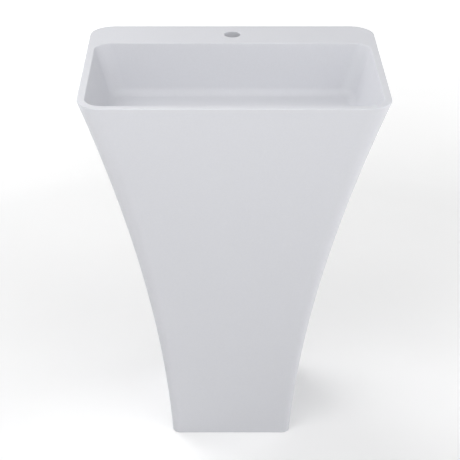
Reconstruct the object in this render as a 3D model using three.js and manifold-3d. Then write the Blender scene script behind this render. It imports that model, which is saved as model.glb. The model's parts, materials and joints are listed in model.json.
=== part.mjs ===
// A free-standing pedestal sink in cast stone resin, with its click waste, bottle trap and floor fixings.
// The body is one casting: a flared shell with a bowl, a tap deck and a hollow pedestal, closed behind by a
// bonded panel with a service opening. The waste hangs in the bowl floor and drains through a bottle trap
// to a pipe in the wall behind.
// Millimetres, +Z up. The origin is on the floor under the middle of the rim, and the wall is at +Y.

import * as THREE from "three";
import { mergeVertices } from "three/addons/utils/BufferGeometryUtils.js";
import Module from "manifold-3d";

const wasm = await Module();
wasm.setup();

// ---- Fits ----
const GAP = 0.3; // between faces that touch
const SLIP = 0.4; // radial, round a tube that slides in a socket
const PAST = 1; // how far a cutting shape runs past the face it opens

// ---- Body ----
const HEIGHT = 850;
const RIM_WIDTH = 600;
const RIM_DEPTH = 450;
const FOOT_WIDTH = 260;
const FOOT_DEPTH = 300;
const RIM_CORNER = 50; // plan radius of the corners at the rim
const FOOT_CORNER = 17; // plan radius of the corners at the floor
const LEAST_CORNER = 2; // of the hollow's corners
const FLARE_AT_FOOT = 0.31; // slope of the flare at the floor, over that of a straight taper
const FLARE_AT_RIM = 1.58; // the same at the rim
const RIM_ROUND = 2; // on the outer and inner edges of the rim
const WALL = 15.5;
const DECK_THICKNESS = 16;

// ---- Bowl ----
const BOWL_DEPTH = 107; // rim to the edge of the bowl floor
const FLOOR_FALL = 5; // from the edge of the bowl floor to the drain
const FLOOR_THICKNESS = 16; // at the drain
const FLOOR_FILLET = 15;
const DECK_DEPTH = 105; // from the back of the body to the bowl
const BACK_LEAN = 0.2; // the bowl's back wall comes forward by this share of its depth
const BACK_WALL = 14;

// ---- Tap hole ----
const TAP_HOLE_RADIUS = 17;
const TAP_HOLE_FROM_BACK = 52;

// ---- Back panel ----
const PANEL_THICKNESS = 12;
const PANEL_MARGIN = 45; // width of the body's return on each side of the panel
const PANEL_BELOW_RIM = 50;
const PANEL_LEDGE = 12; // width of the rebate that the panel is bonded to
const SERVICE_WIDTH = 200;
const SERVICE_BELOW_OUTLET = 136; // the service opening's reach below and above the trap's outlet
const SERVICE_ABOVE_OUTLET = 114;
const SERVICE_CORNER = 25;
const WALL_FIX_BELOW_RIM = 130;
const WALL_FIX_FROM_EDGE = 76; // from the panel's edge at that height
const WALL_FIX_RADIUS = 4.2; // bore of the bush, for an 8 mm wall bolt
const BUSH_SLEEVE_RADIUS = 7;
const BUSH_FLANGE_RADIUS = 12;
const BUSH_FLANGE_THICKNESS = 2.5;

// ---- Click waste ----
const WASTE_THREAD_RADIUS = 20.9; // G 1 1/4
const WASTE_WALL = 2.7;
const WASTE_MOUTH_FLARE = 1.8; // of the bore, through the flange
const DRAIN_HOLE_CLEARANCE = 1.6; // radial, round the waste's thread
const FLANGE_THICKNESS = 2.2;
const FLANGE_OVERHANG = 3.5; // of the flange round the stopper's cap
const FLANGE_GASKET_THICKNESS = 1.5;
const FLANGE_RECESS_CLEARANCE = 1.5;
const WASTE_LENGTH = 68; // below the flange
const CROSSBAR_DEPTH = 31; // middle of the crossbar, below the flange's underside
const CROSSBAR_HEIGHT = 6;
const CROSSBAR_WIDTH = 3;
const CROSSBAR_ARMS = 3;
const BOSS_RADIUS = 7;
const BOSS_HEIGHT = 10;

// ---- Stopper ----
const STOPPER_TRAVEL = 7;
const CAP_OVERHANG = 4; // of the cap round its seal
const CAP_EDGE = 2.5;
const CAP_CROWN = 3;
const CAP_PROFILE = [
  // shares of the radius and of the crown, from the edge to the middle
  [1, 0],
  [0.92, 0.4],
  [0.6, 0.85],
  [0, 1],
];
const CAP_BOSS_RADIUS = 6;
const CAP_BOSS_DEPTH = 7;
const SEAL_FROM_MOUTH = 2;
const SEAL_WIDTH = 5;
const SEAL_THICKNESS = 1.5;
const STEM_RADIUS = 2.2;
const STEM_COLLAR_RADIUS = 4.1;
const STEM_COLLAR_HEIGHT = 2;
const STEM_IN_CAP = 6;
const SLEEVE_RADIUS = 6;
const SLEEVE_BORE_RADIUS = 4.5;
const SLEEVE_STUB_RADIUS = 3;
const SLEEVE_FLOOR = 2.7;
const SLEEVE_LIP = 1;
const SPRING_LENGTH = 6.4;
const SPRING_TURNS = 5;
const SPRING_WIRE_RADIUS = 0.45;
const SPRING_RADIUS = 3.4;

// ---- Clamping parts under the bowl ----
const LOWER_GASKET_HEIGHT = 6;
const LOWER_GASKET_OVERLAP = 10.5; // under the floor, round the drain hole
const LOWER_GASKET_TAPER = 4;
const SLIP_RING_OVERLAP = 8.5; // round the drain hole
const SLIP_RING_THICKNESS = 1.5;
const LOCKNUT_HEIGHT = 10;
const LOCKNUT_WALL = 5.1;

// ---- Pipes and trap ----
const PIPE_RADIUS = 16;
const PIPE_WALL = 1.2;
const NUT_WALL = 4.2; // thickness of a union nut's skirt
const NUT_LIP = 3;
const NUT_CHAMFER = 1;
const NUT_HEIGHT = 24;
const NUT_RIBS = 12;
const RIB_WIDTH = 3;
const RIB_DEPTH = 1.2;
const NECK_WALL = 3.6; // of the trap's threaded neck and outlet
const CONE_SEAL_HEIGHT = 4.7;
const CONE_SEAL_TIP = 1.8; // the cone's small end is this much smaller in radius than its large end
const TAIL_WASHER_THICKNESS = 2;
const TAIL_FLANGE_THICKNESS = 2;
const TAIL_LENGTH = 106;
const TAIL_IN_TRAP = 58; // how far the tailpiece reaches into the trap's neck
const TRAP_RADIUS = 34;
const TRAP_WALL = 3;
const NECK_HEIGHT = 20;
const SHOULDER_HEIGHT = 8;
const DIP_TUBE_WALL = 2;
const DIP_TUBE_IN_CUP = 31; // below the cup's ledge
const OUTLET_BELOW_SHOULDER = 4; // top of the outlet branch
const OUTLET_LENGTH = 28; // outside the chamber
const ARM_IN_OUTLET = 26;
const CUP_BELOW_OUTLET = 2; // from the outlet branch to the top of the cup's collar
const CUP_COLLAR_WALL = 3.7;
const CUP_COLLAR_HEIGHT = 24;
const CUP_OVERLAP = 16; // how far the cup's collar covers the chamber
const CUP_DEPTH = 58; // below the collar
const CUP_BASE_INSET = 10;
const CUP_BASE_HEIGHT = 10;
const CUP_RIBS = 18;
const CUP_SEAL_THICKNESS = 2.2;
const WALL_FLANGE_OVERHANG = 17; // round the pipe
const WALL_FLANGE_THICKNESS = 2;
const WALL_FLANGE_COLLAR = 14;
const WALL_FLANGE_COLLAR_WALL = 2;

// ---- Floor fixings ----
const BRACKET_THICKNESS = 3;
const BRACKET_HEIGHT = 52;
const BRACKET_REACH = 46;
const BRACKET_WIDTH = 70;
const BRACKET_Y = 70; // middle of each bracket
const BRACKET_FLOOR_HOLE_RADIUS = 4.5;
const BOLT_SPACING = 40;
const BOLT_HEIGHT = 32; // above the floor, along the wall
const BOLT_RADIUS = 2.7;
const BOLT_HOLE_RADIUS = 3.3;
const BOLT_HEAD_FLATS = 10;
const BOLT_HEAD_HEIGHT = 4;
const BOLT_LENGTH = 12; // under the head
const INSERT_RADIUS = 4.5;
const INSERT_BORE_RADIUS = 3;
const INSERT_LENGTH = 10.5;

// ---- Fineness of the mesh ----
const BODY_LEVELS = 17;
const FILLET_LEVELS = 4;
const RIM_LEVELS = 2;
const CORNER_STEPS = 5;
const ROUND_SIDES = 24;
const SMALL_SIDES = 12;
const SPRING_STEPS = 10; // in each turn

// ---- Left and right pieces, with the sign of their x ----
const SIDES = [
  ["left", -1],
  ["right", 1],
];

// ---- Places that follow from the sizes ----
const BACK_Y = RIM_DEPTH / 2;
const FRONT_Y = -RIM_DEPTH / 2;
const BOWL_BACK_Y = BACK_Y - DECK_DEPTH;
const BOWL_FLOOR_Z = HEIGHT - BOWL_DEPTH;
const DRAIN_FLOOR_Z = BOWL_FLOOR_Z - FLOOR_FALL;
const FLOOR_UNDERSIDE_Z = DRAIN_FLOOR_Z - FLOOR_THICKNESS;
const DRAIN_Y = (FRONT_Y + WALL + BOWL_BACK_Y) / 2;
const PANEL_TOP = HEIGHT - PANEL_BELOW_RIM;
const RECESS_Z = DRAIN_FLOOR_Z - FLANGE_GASKET_THICKNESS - FLANGE_THICKNESS;
const FLANGE_Z = RECESS_Z + 2 * GAP + FLANGE_GASKET_THICKNESS;
const TAIL_WASHER_Z = FLANGE_Z - WASTE_LENGTH - GAP - TAIL_WASHER_THICKNESS;
const TAIL_Z = TAIL_WASHER_Z - GAP;
const NECK_Z = TAIL_Z - TAIL_LENGTH + TAIL_IN_TRAP;
const WALL_FROM_TRAP = BACK_Y - DRAIN_Y;

// ---- Radii that follow from the sizes ----
const DRAIN_HOLE_RADIUS = WASTE_THREAD_RADIUS + DRAIN_HOLE_CLEARANCE;
const WASTE_BORE_RADIUS = WASTE_THREAD_RADIUS - WASTE_WALL;
const WASTE_MOUTH_RADIUS = WASTE_BORE_RADIUS + WASTE_MOUTH_FLARE;
const SEAL_INNER_RADIUS = WASTE_MOUTH_RADIUS + SEAL_FROM_MOUTH;
const SEAL_OUTER_RADIUS = SEAL_INNER_RADIUS + SEAL_WIDTH;
const CAP_RADIUS = SEAL_OUTER_RADIUS + CAP_OVERHANG;
const FLANGE_RADIUS = CAP_RADIUS + FLANGE_OVERHANG;
const CLAMP_BORE = WASTE_THREAD_RADIUS + GAP;
const TRAP_BORE = PIPE_RADIUS + SLIP;
const THREAD_RADIUS = TRAP_BORE + NECK_WALL;
const DIP_TUBE_RADIUS = TRAP_BORE + DIP_TUBE_WALL;
const CUP_INNER_RADIUS = TRAP_RADIUS - TRAP_WALL;
const OUTLET_REACH = TRAP_RADIUS + OUTLET_LENGTH;

// ---- Heights in the trap, from the top of its neck ----
const SHOULDER_Z = -NECK_HEIGHT - SHOULDER_HEIGHT;
const OUTLET_Z = SHOULDER_Z - OUTLET_BELOW_SHOULDER - THREAD_RADIUS;
const CUP_TOP_Z = OUTLET_Z - THREAD_RADIUS - CUP_BELOW_OUTLET;
const CHAMBER_BOTTOM_Z = CUP_TOP_Z - CUP_OVERLAP;
const CUP_LEDGE_Z = CUP_TOP_Z - CUP_COLLAR_HEIGHT + TRAP_WALL;
const CUP_SEAL_Z = CHAMBER_BOTTOM_Z - GAP - CUP_SEAL_THICKNESS;
const DIP_TUBE_END_Z = CUP_LEDGE_Z - DIP_TUBE_IN_CUP;

// ---- Materials ----
const finish = (color, roughness, metalness = 0) =>
  new THREE.MeshStandardMaterial({ color, roughness, metalness });
const STONE_RESIN = finish(0xdfe0e5, 0.45);
const CHROME = finish(0xd6d9dc, 0.08, 1);
const BRASS = finish(0xb9975a, 0.3, 1);
const STEEL = finish(0xb4b7ba, 0.35, 1);
const ZINC = finish(0xa9adb0, 0.4, 1);
const RUBBER = finish(0x1f2022, 0.8);
const SOFT_SEAL = finish(0xbfc3c6, 0.6);
const NYLON = finish(0xe6e3da, 0.5);
const WHITE_PLASTIC = finish(0xf0f1f1, 0.3);

// Evenly spaced values, both ends included.
function levels(from, to, count) {
  return Array.from({ length: count + 1 }, (_, i) => from + ((to - from) * i) / count);
}

// ---- Solids ----

// A closed three.js geometry as a manifold-3d solid.
function solid(geometry) {
  const bare = new THREE.BufferGeometry().setAttribute("position", geometry.getAttribute("position").clone());
  if (geometry.index) bare.setIndex(geometry.index.clone());
  const merged = mergeVertices(bare, 1e-4);
  return new wasm.Manifold(
    new wasm.Mesh({
      numProp: 3,
      vertProperties: merged.getAttribute("position").array,
      triVerts: new Uint32Array(merged.index.array),
    }),
  );
}

function geometryOf(manifold) {
  const mesh = manifold.getMesh();
  const positions = new Float32Array(mesh.numVert * 3);
  for (let i = 0; i < mesh.numVert; i += 1) {
    positions.set(mesh.vertProperties.subarray(i * mesh.numProp, i * mesh.numProp + 3), i * 3);
  }
  const geometry = new THREE.BufferGeometry();
  geometry.setAttribute("position", new THREE.BufferAttribute(positions, 3));
  geometry.setIndex(new THREE.BufferAttribute(mesh.triVerts, 1));
  geometry.computeVertexNormals();
  return geometry;
}

function cut(from, ...tools) {
  return geometryOf(tools.reduce((left, tool) => left.subtract(solid(tool)), solid(from)));
}

function join(...shapes) {
  return geometryOf(shapes.map(solid).reduce((a, b) => a.add(b)));
}

// A turned shape about +Z, from an anticlockwise list of [radius, height]. Off the axis, it closes on itself.
function turned(profile, sides = ROUND_SIDES) {
  const onAxis = profile[0][0] === 0 && profile.at(-1)[0] === 0;
  const points = (onAxis ? profile : [...profile, profile[0]]).map(([r, z]) => new THREE.Vector2(r, z));
  return new THREE.LatheGeometry(points, sides).rotateX(Math.PI / 2);
}

function ring(inner, outer, bottom, top, sides = ROUND_SIDES) {
  return turned([[inner, bottom], [outer, bottom], [outer, top], [inner, top]], sides);
}

function rod(radius, bottom, top, sides = ROUND_SIDES) {
  return turned([[0, bottom], [radius, bottom], [radius, top], [0, top]], sides);
}

// Copies of a bar round +Z. Each reaches from one radius to another; the first points along +Y.
function spokes(count, inner, outer, width, bottom, top) {
  return levels(0, count - 1, count - 1).map((turn) => {
    const bar = new THREE.BoxGeometry(width, outer - inner, top - bottom);
    return bar.translate(0, (inner + outer) / 2, (bottom + top) / 2).rotateZ((turn * 2 * Math.PI) / count);
  });
}

// A turned shape whose axis is +Y: what was up now points to the wall.
const towardsWall = (geometry) => geometry.rotateX(-Math.PI / 2);

// A hexagonal prism about +Z with the given width across flats.
const hexagon = (flats, bottom, top) => rod(flats / 2 / Math.cos(Math.PI / 6), bottom, top, 6);

// An outline in x and z, extruded from one y to another.
function plate(shape, y0, y1) {
  const depth = y1 - y0;
  const settings = { depth, bevelEnabled: false, curveSegments: CORNER_STEPS };
  return new THREE.ExtrudeGeometry(shape, settings).rotateX(Math.PI / 2).translate(0, y1, 0);
}

// ---- The body's form ----

// Share of the way from the foot's size to the rim's size at a height: a cubic with a set slope at each end.
function flare(z) {
  const t = Math.min(z / (HEIGHT - RIM_ROUND), 1);
  const squared = 3 - 2 * FLARE_AT_FOOT - FLARE_AT_RIM;
  const cubed = FLARE_AT_FOOT + FLARE_AT_RIM - 2;
  return FLARE_AT_FOOT * t + squared * t ** 2 + cubed * t ** 3;
}

const halfWidth = (z) => (FOOT_WIDTH + (RIM_WIDTH - FOOT_WIDTH) * flare(z)) / 2;
const frontY = (z) => BACK_Y - FOOT_DEPTH - (RIM_DEPTH - FOOT_DEPTH) * flare(z);
const cornerRadius = (z) => FOOT_CORNER + (RIM_CORNER - FOOT_CORNER) * flare(z);

// The heights of the body's sections between two heights, which are sections themselves.
function bodyLevels(from, to) {
  return [from, ...levels(0, HEIGHT, BODY_LEVELS).filter((z) => z > from && z < to), to];
}

// A quarter round, as pairs of [share of the radius along, share of the radius in].
const quarterRound = (steps) =>
  levels(0, Math.PI / 2, steps).map((angle) => [Math.sin(angle), 1 - Math.cos(angle)]);

// A rounded rectangle, seen from above, as points at one height.
function section(z, half, front, back, radius) {
  const centres = [
    [half - radius, back - radius],
    [radius - half, back - radius],
    [radius - half, front + radius],
    [half - radius, front + radius],
  ];
  return centres.flatMap(([x, y], quarter) =>
    levels(quarter, quarter + 1, CORNER_STEPS).map((turn) => {
      const angle = (turn * Math.PI) / 2;
      return new THREE.Vector3(x + radius * Math.cos(angle), y + radius * Math.sin(angle), z);
    }),
  );
}

// Skins a stack of sections, and closes each end with a fan to a point in it.
function loft(sections, bottomPoint = null) {
  const count = sections[0].length;
  const middle = (points) => points.reduce((sum, p) => sum.add(p), new THREE.Vector3()).divideScalar(count);
  const points = [...sections.flat(), bottomPoint ?? middle(sections[0]), middle(sections.at(-1))];
  const bottom = points.length - 2;
  const top = points.length - 1;
  const lastRing = bottom - count;
  const index = [];
  for (let i = 0; i < count; i += 1) {
    const next = (i + 1) % count;
    for (let row = 0; row < lastRing; row += count) {
      index.push(row + i, row + next, row + count + next, row + i, row + count + next, row + count + i);
    }
    index.push(bottom, next, i, top, lastRing + i, lastRing + next);
  }
  return new THREE.BufferGeometry().setFromPoints(points).setIndex(index);
}

// The body's outer form, drawn in by an inset.
function bodySection(z, inset) {
  const radius = Math.max(cornerRadius(z) - inset, LEAST_CORNER);
  return section(z, halfWidth(z) - inset, frontY(z) + inset, BACK_Y - inset, radius);
}

const bowlBackY = (z) => BOWL_BACK_Y - BACK_LEAN * (HEIGHT - z);

// The bowl's inside, drawn in by an inset, and placed at its own height unless another is given.
function bowlSection(z, inset, place = z) {
  const half = halfWidth(z) - WALL - inset;
  return section(place, half, frontY(z) + WALL + inset, bowlBackY(z) - inset, RIM_CORNER - WALL - inset);
}

function bowlCavity() {
  const fillet = quarterRound(FILLET_LEVELS)
    .map(([along, inwards]) => bowlSection(BOWL_FLOOR_Z + FLOOR_FILLET * (1 - along), FLOOR_FILLET * inwards))
    .toReversed();
  const walls = bodyLevels(BOWL_FLOOR_Z + FLOOR_FILLET, HEIGHT - RIM_ROUND).slice(1, -1);
  const mouth = quarterRound(RIM_LEVELS).map(([along, inwards]) =>
    bowlSection(HEIGHT - RIM_ROUND * (1 - along), -RIM_ROUND * inwards),
  );
  const above = bowlSection(HEIGHT, -RIM_ROUND, HEIGHT + DECK_THICKNESS);
  const drain = new THREE.Vector3(0, DRAIN_Y, DRAIN_FLOOR_Z);
  return loft([...fillet, ...walls.map((z) => bowlSection(z, 0)), ...mouth, above], drain);
}

// The hollow pedestal, with a pocket behind the bowl that reaches up to the deck.
function pedestalCavity() {
  const hollow = loft(bodyLevels(-WALL, HEIGHT - DECK_THICKNESS).map((z) => bodySection(z, WALL)));
  const bowlBlock = loft(
    [FLOOR_UNDERSIDE_Z, HEIGHT + DECK_THICKNESS].map((z) =>
      section(z, RIM_WIDTH, FRONT_Y - WALL, bowlBackY(z) + BACK_WALL, BACK_WALL),
    ),
  );
  return cut(hollow, bowlBlock);
}

// ---- Back panel and its rebate ----

// The panel's outline in x and z, grown by a margin: its sides keep their distance from the body's flare.
function panelOutline(grow, bottom = 0) {
  const heights = bodyLevels(bottom, PANEL_TOP + grow);
  const side = heights.map((z) => new THREE.Vector2(halfWidth(z) - PANEL_MARGIN + grow, z));
  return new THREE.Shape([...side, ...side.toReversed().map((p) => new THREE.Vector2(-p.x, p.y))]);
}

function roundedWindow(width, bottom, top, radius) {
  const half = width / 2;
  const shape = new THREE.Shape();
  shape.moveTo(radius - half, bottom);
  shape.lineTo(half - radius, bottom);
  shape.absarc(half - radius, bottom + radius, radius, -Math.PI / 2, 0, false);
  shape.absarc(half - radius, top - radius, radius, 0, Math.PI / 2, false);
  shape.absarc(radius - half, top - radius, radius, Math.PI / 2, Math.PI, false);
  shape.absarc(radius - half, bottom + radius, radius, Math.PI, Math.PI * 1.5, false);
  return shape;
}

const WALL_FIX_Z = HEIGHT - WALL_FIX_BELOW_RIM;
const WALL_FIX_X = halfWidth(WALL_FIX_Z) - PANEL_MARGIN - WALL_FIX_FROM_EDGE;

function backPanel() {
  const front = BACK_Y - PANEL_THICKNESS;
  const outletZ = NECK_Z + OUTLET_Z;
  const opening = roundedWindow(
    SERVICE_WIDTH,
    outletZ - SERVICE_BELOW_OUTLET,
    outletZ + SERVICE_ABOVE_OUTLET,
    SERVICE_CORNER,
  );
  const holes = SIDES.map(([, side]) => {
    const hole = rod(BUSH_SLEEVE_RADIUS + GAP, front - PAST, BACK_Y + PAST, SMALL_SIDES);
    return towardsWall(hole).translate(side * WALL_FIX_X, 0, WALL_FIX_Z);
  });
  return cut(plate(panelOutline(0), front, BACK_Y), plate(opening, front - PAST, BACK_Y + PAST), ...holes);
}

// The window that the panel fills, and the smaller one behind the ledge that it is bonded to.
function panelWindows() {
  const ledgeY = BACK_Y - PANEL_THICKNESS - GAP;
  return [
    plate(panelOutline(GAP, -WALL), ledgeY, BACK_Y + WALL),
    plate(panelOutline(-PANEL_LEDGE, -WALL), BACK_Y - WALL - PAST, ledgeY + PAST),
  ];
}

// ---- Floor fixings ----

const BOLT_Y = [BRACKET_Y - BOLT_SPACING / 2, BRACKET_Y + BOLT_SPACING / 2];
const innerWallX = (z) => halfWidth(z) - WALL;
const wallLean = Math.atan2(innerWallX(BRACKET_HEIGHT) - innerWallX(0), BRACKET_HEIGHT);

// Turns a shape made for the right side round to the left, about a line at the given y.
function toSide(geometry, side, y) {
  return side > 0 ? geometry : geometry.rotateZ(Math.PI).translate(0, 2 * y, 0);
}

// Sets a shape, whose +Z then points into the wall, on the inner face of a side wall at the bolts' height.
function onSideWall(geometry, side, y) {
  const placed = geometry.rotateY(Math.PI / 2 + wallLean).translate(innerWallX(BOLT_HEIGHT), y, BOLT_HEIGHT);
  return toSide(placed, side, y);
}

function bracket(side) {
  const shape = new THREE.Shape();
  const face = innerWallX(0) - GAP;
  const lean = innerWallX(BRACKET_HEIGHT) - innerWallX(0);
  shape.moveTo(face, 0);
  shape.lineTo(face + lean, BRACKET_HEIGHT);
  shape.lineTo(face + lean - BRACKET_THICKNESS, BRACKET_HEIGHT);
  shape.lineTo(face - BRACKET_THICKNESS, BRACKET_THICKNESS);
  shape.lineTo(face - BRACKET_REACH, BRACKET_THICKNESS);
  shape.lineTo(face - BRACKET_REACH, 0);
  const bent = plate(shape, BRACKET_Y - BRACKET_WIDTH / 2, BRACKET_Y + BRACKET_WIDTH / 2);
  const floorHole = rod(BRACKET_FLOOR_HOLE_RADIUS, -PAST, BRACKET_THICKNESS + PAST, SMALL_SIDES);
  floorHole.translate(side * (face - BRACKET_REACH / 2 - BRACKET_THICKNESS), BRACKET_Y, 0);
  const boltHoles = BOLT_Y.map((y) =>
    onSideWall(rod(BOLT_HOLE_RADIUS, -3 * BRACKET_THICKNESS, BRACKET_THICKNESS, SMALL_SIDES), side, y),
  );
  return cut(toSide(bent, side, BRACKET_Y), floorHole, ...boltHoles);
}

const HEAD_Z = -BRACKET_THICKNESS - 3 * GAP; // underside of a bolt head, from the wall's face

function bolt(side, y) {
  const head = hexagon(BOLT_HEAD_FLATS, HEAD_Z - BOLT_HEAD_HEIGHT, HEAD_Z);
  const shank = rod(BOLT_RADIUS, HEAD_Z - BOLT_HEAD_HEIGHT / 2, HEAD_Z + BOLT_LENGTH, SMALL_SIDES);
  return onSideWall(join(head, shank), side, y);
}

function insert(side, y) {
  return onSideWall(ring(INSERT_BORE_RADIUS, INSERT_RADIUS, GAP, INSERT_LENGTH, SMALL_SIDES), side, y);
}

function insertPocket(side, y) {
  return onSideWall(rod(INSERT_RADIUS + GAP, -PAST, INSERT_LENGTH + GAP, SMALL_SIDES), side, y);
}

// ---- The cast body ----

function outerForm() {
  const walls = bodyLevels(0, HEIGHT - RIM_ROUND).slice(0, -1);
  const rim = quarterRound(RIM_LEVELS).map(([along, inwards]) =>
    bodySection(HEIGHT - RIM_ROUND * (1 - along), RIM_ROUND * inwards),
  );
  return loft([...walls.map((z) => bodySection(z, 0)), ...rim]);
}

function deckAndDrainHoles() {
  const tap = rod(TAP_HOLE_RADIUS, HEIGHT - DECK_THICKNESS - PAST, HEIGHT + PAST);
  const drain = rod(DRAIN_HOLE_RADIUS, FLOOR_UNDERSIDE_Z - PAST, BOWL_FLOOR_Z + PAST);
  const recess = rod(FLANGE_RADIUS + FLANGE_RECESS_CLEARANCE, RECESS_Z, BOWL_FLOOR_Z + PAST);
  return [
    tap.translate(0, BACK_Y - TAP_HOLE_FROM_BACK, 0),
    drain.translate(0, DRAIN_Y, 0),
    recess.translate(0, DRAIN_Y, 0),
  ];
}

function sinkBody() {
  const pockets = SIDES.flatMap(([, side]) => BOLT_Y.map((y) => insertPocket(side, y)));
  const hollows = [bowlCavity(), pedestalCavity(), ...panelWindows()];
  return cut(outerForm(), ...hollows, ...deckAndDrainHoles(), ...pockets);
}

const wallBush = () =>
  towardsWall(
    turned(
      [
        [WALL_FIX_RADIUS, -BUSH_FLANGE_THICKNESS - GAP],
        [BUSH_FLANGE_RADIUS, -BUSH_FLANGE_THICKNESS - GAP],
        [BUSH_FLANGE_RADIUS, -GAP],
        [BUSH_SLEEVE_RADIUS, -GAP],
        [BUSH_SLEEVE_RADIUS, PANEL_THICKNESS],
        [WALL_FIX_RADIUS, PANEL_THICKNESS],
      ],
      SMALL_SIDES,
    ),
  );

// ---- Click waste: heights are measured from the flange's underside ----

const CROSSBAR_TOP = -CROSSBAR_DEPTH + BOSS_HEIGHT / 2;
const SLEEVE_BOTTOM = CROSSBAR_TOP + GAP;
const BORE_BOTTOM = SLEEVE_BOTTOM + SLEEVE_FLOOR;
const COLLAR_BOTTOM = BORE_BOTTOM + SPRING_LENGTH + 2 * GAP;
const SLEEVE_TOP = COLLAR_BOTTOM + STEM_COLLAR_HEIGHT + STOPPER_TRAVEL + GAP + SLEEVE_LIP;
const SEAL_Z = FLANGE_THICKNESS + GAP;
const CAP_Z = SEAL_Z + SEAL_THICKNESS + GAP;
const CAP_SOCKET_Z = CAP_Z - CAP_BOSS_DEPTH + STEM_IN_CAP;

function wasteBody() {
  const shell = turned([
    [WASTE_BORE_RADIUS, -WASTE_LENGTH],
    [WASTE_THREAD_RADIUS, -WASTE_LENGTH],
    [WASTE_THREAD_RADIUS, 0],
    [FLANGE_RADIUS, 0],
    [FLANGE_RADIUS, FLANGE_THICKNESS / 2],
    [FLANGE_RADIUS - FLANGE_THICKNESS / 2, FLANGE_THICKNESS],
    [WASTE_MOUTH_RADIUS, FLANGE_THICKNESS],
    [WASTE_BORE_RADIUS, 0],
  ]);
  const low = -CROSSBAR_DEPTH - CROSSBAR_HEIGHT / 2;
  const arms = spokes(CROSSBAR_ARMS, 0, WASTE_BORE_RADIUS + PAST, CROSSBAR_WIDTH, low, low + CROSSBAR_HEIGHT);
  const boss = rod(BOSS_RADIUS, -CROSSBAR_DEPTH - BOSS_HEIGHT / 2, CROSSBAR_TOP, SMALL_SIDES);
  const hole = rod(SLEEVE_STUB_RADIUS + GAP, -CROSSBAR_DEPTH - BOSS_HEIGHT, 0, SMALL_SIDES);
  return cut(join(shell, boss, ...arms), hole);
}

const clickSleeve = () =>
  turned(
    [
      [0, -CROSSBAR_DEPTH - BOSS_HEIGHT / 2],
      [SLEEVE_STUB_RADIUS, -CROSSBAR_DEPTH - BOSS_HEIGHT / 2],
      [SLEEVE_STUB_RADIUS, SLEEVE_BOTTOM],
      [SLEEVE_RADIUS, SLEEVE_BOTTOM],
      [SLEEVE_RADIUS, SLEEVE_TOP],
      [STEM_RADIUS + SLIP, SLEEVE_TOP],
      [STEM_RADIUS + SLIP, SLEEVE_TOP - SLEEVE_LIP],
      [SLEEVE_BORE_RADIUS, SLEEVE_TOP - SLEEVE_LIP],
      [SLEEVE_BORE_RADIUS, BORE_BOTTOM],
      [0, BORE_BOTTOM],
    ],
    SMALL_SIDES,
  );

class Helix extends THREE.Curve {
  getPoint(t, target = new THREE.Vector3()) {
    const angle = t * SPRING_TURNS * 2 * Math.PI;
    const rise = SPRING_WIRE_RADIUS + t * (SPRING_LENGTH - 2 * SPRING_WIRE_RADIUS);
    return target.set(SPRING_RADIUS * Math.cos(angle), SPRING_RADIUS * Math.sin(angle), rise);
  }
}

function clickSpring() {
  const wire = new THREE.Shape().absarc(0, 0, SPRING_WIRE_RADIUS, 0, 2 * Math.PI);
  const path = new Helix();
  const steps = SPRING_TURNS * SPRING_STEPS;
  const coil = new THREE.ExtrudeGeometry(wire, { extrudePath: path, steps, curveSegments: 3 });
  return coil.translate(0, 0, BORE_BOTTOM + GAP);
}

const stopperStem = () =>
  turned(
    [
      [0, COLLAR_BOTTOM],
      [STEM_COLLAR_RADIUS, COLLAR_BOTTOM],
      [STEM_COLLAR_RADIUS, COLLAR_BOTTOM + STEM_COLLAR_HEIGHT],
      [STEM_RADIUS, COLLAR_BOTTOM + STEM_COLLAR_HEIGHT],
      [STEM_RADIUS, CAP_SOCKET_Z - GAP],
      [0, CAP_SOCKET_Z - GAP],
    ],
    SMALL_SIDES,
  );

const stopperCap = () =>
  turned([
    [0, CAP_SOCKET_Z],
    [STEM_RADIUS + GAP, CAP_SOCKET_Z],
    [STEM_RADIUS + GAP, CAP_Z - CAP_BOSS_DEPTH],
    [CAP_BOSS_RADIUS, CAP_Z - CAP_BOSS_DEPTH],
    [CAP_BOSS_RADIUS, CAP_Z],
    [CAP_RADIUS, CAP_Z],
    ...CAP_PROFILE.map(([out, up]) => [CAP_RADIUS * out, CAP_Z + CAP_EDGE + CAP_CROWN * up]),
  ]);

// ---- Clamping parts: heights are measured from the underside of the bowl floor ----

const SLIP_RING_TOP = -LOWER_GASKET_HEIGHT - 2 * GAP;
const SLIP_RING_BOTTOM = SLIP_RING_TOP - SLIP_RING_THICKNESS;
const LOCKNUT_TOP = SLIP_RING_BOTTOM - GAP;

const lowerGasket = () =>
  turned([
    [CLAMP_BORE, -GAP - LOWER_GASKET_HEIGHT],
    [DRAIN_HOLE_RADIUS + LOWER_GASKET_OVERLAP - LOWER_GASKET_TAPER, -GAP - LOWER_GASKET_HEIGHT],
    [DRAIN_HOLE_RADIUS + LOWER_GASKET_OVERLAP, -GAP],
    [CLAMP_BORE, -GAP],
  ]);

const locknut = () =>
  cut(
    hexagon(2 * (WASTE_THREAD_RADIUS + LOCKNUT_WALL), LOCKNUT_TOP - LOCKNUT_HEIGHT, LOCKNUT_TOP),
    rod(CLAMP_BORE, LOCKNUT_TOP - LOCKNUT_HEIGHT - PAST, LOCKNUT_TOP + PAST),
  );

// ---- Union nuts and pipes ----

// A union nut about +Z. Its lip is at the bottom and holds a flange or seal against the end of a thread.
function unionNut(threadRadius, bore) {
  const inner = threadRadius + GAP;
  const outer = inner + NUT_WALL;
  const shell = turned([
    [bore, 0],
    [outer - NUT_CHAMFER, 0],
    [outer, NUT_CHAMFER],
    [outer, NUT_HEIGHT],
    [inner, NUT_HEIGHT],
    [inner, NUT_LIP],
    [bore, NUT_LIP],
  ]);
  return join(shell, ...spokes(NUT_RIBS, inner + PAST, outer + RIB_DEPTH, RIB_WIDTH, NUT_LIP, NUT_HEIGHT));
}

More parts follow.
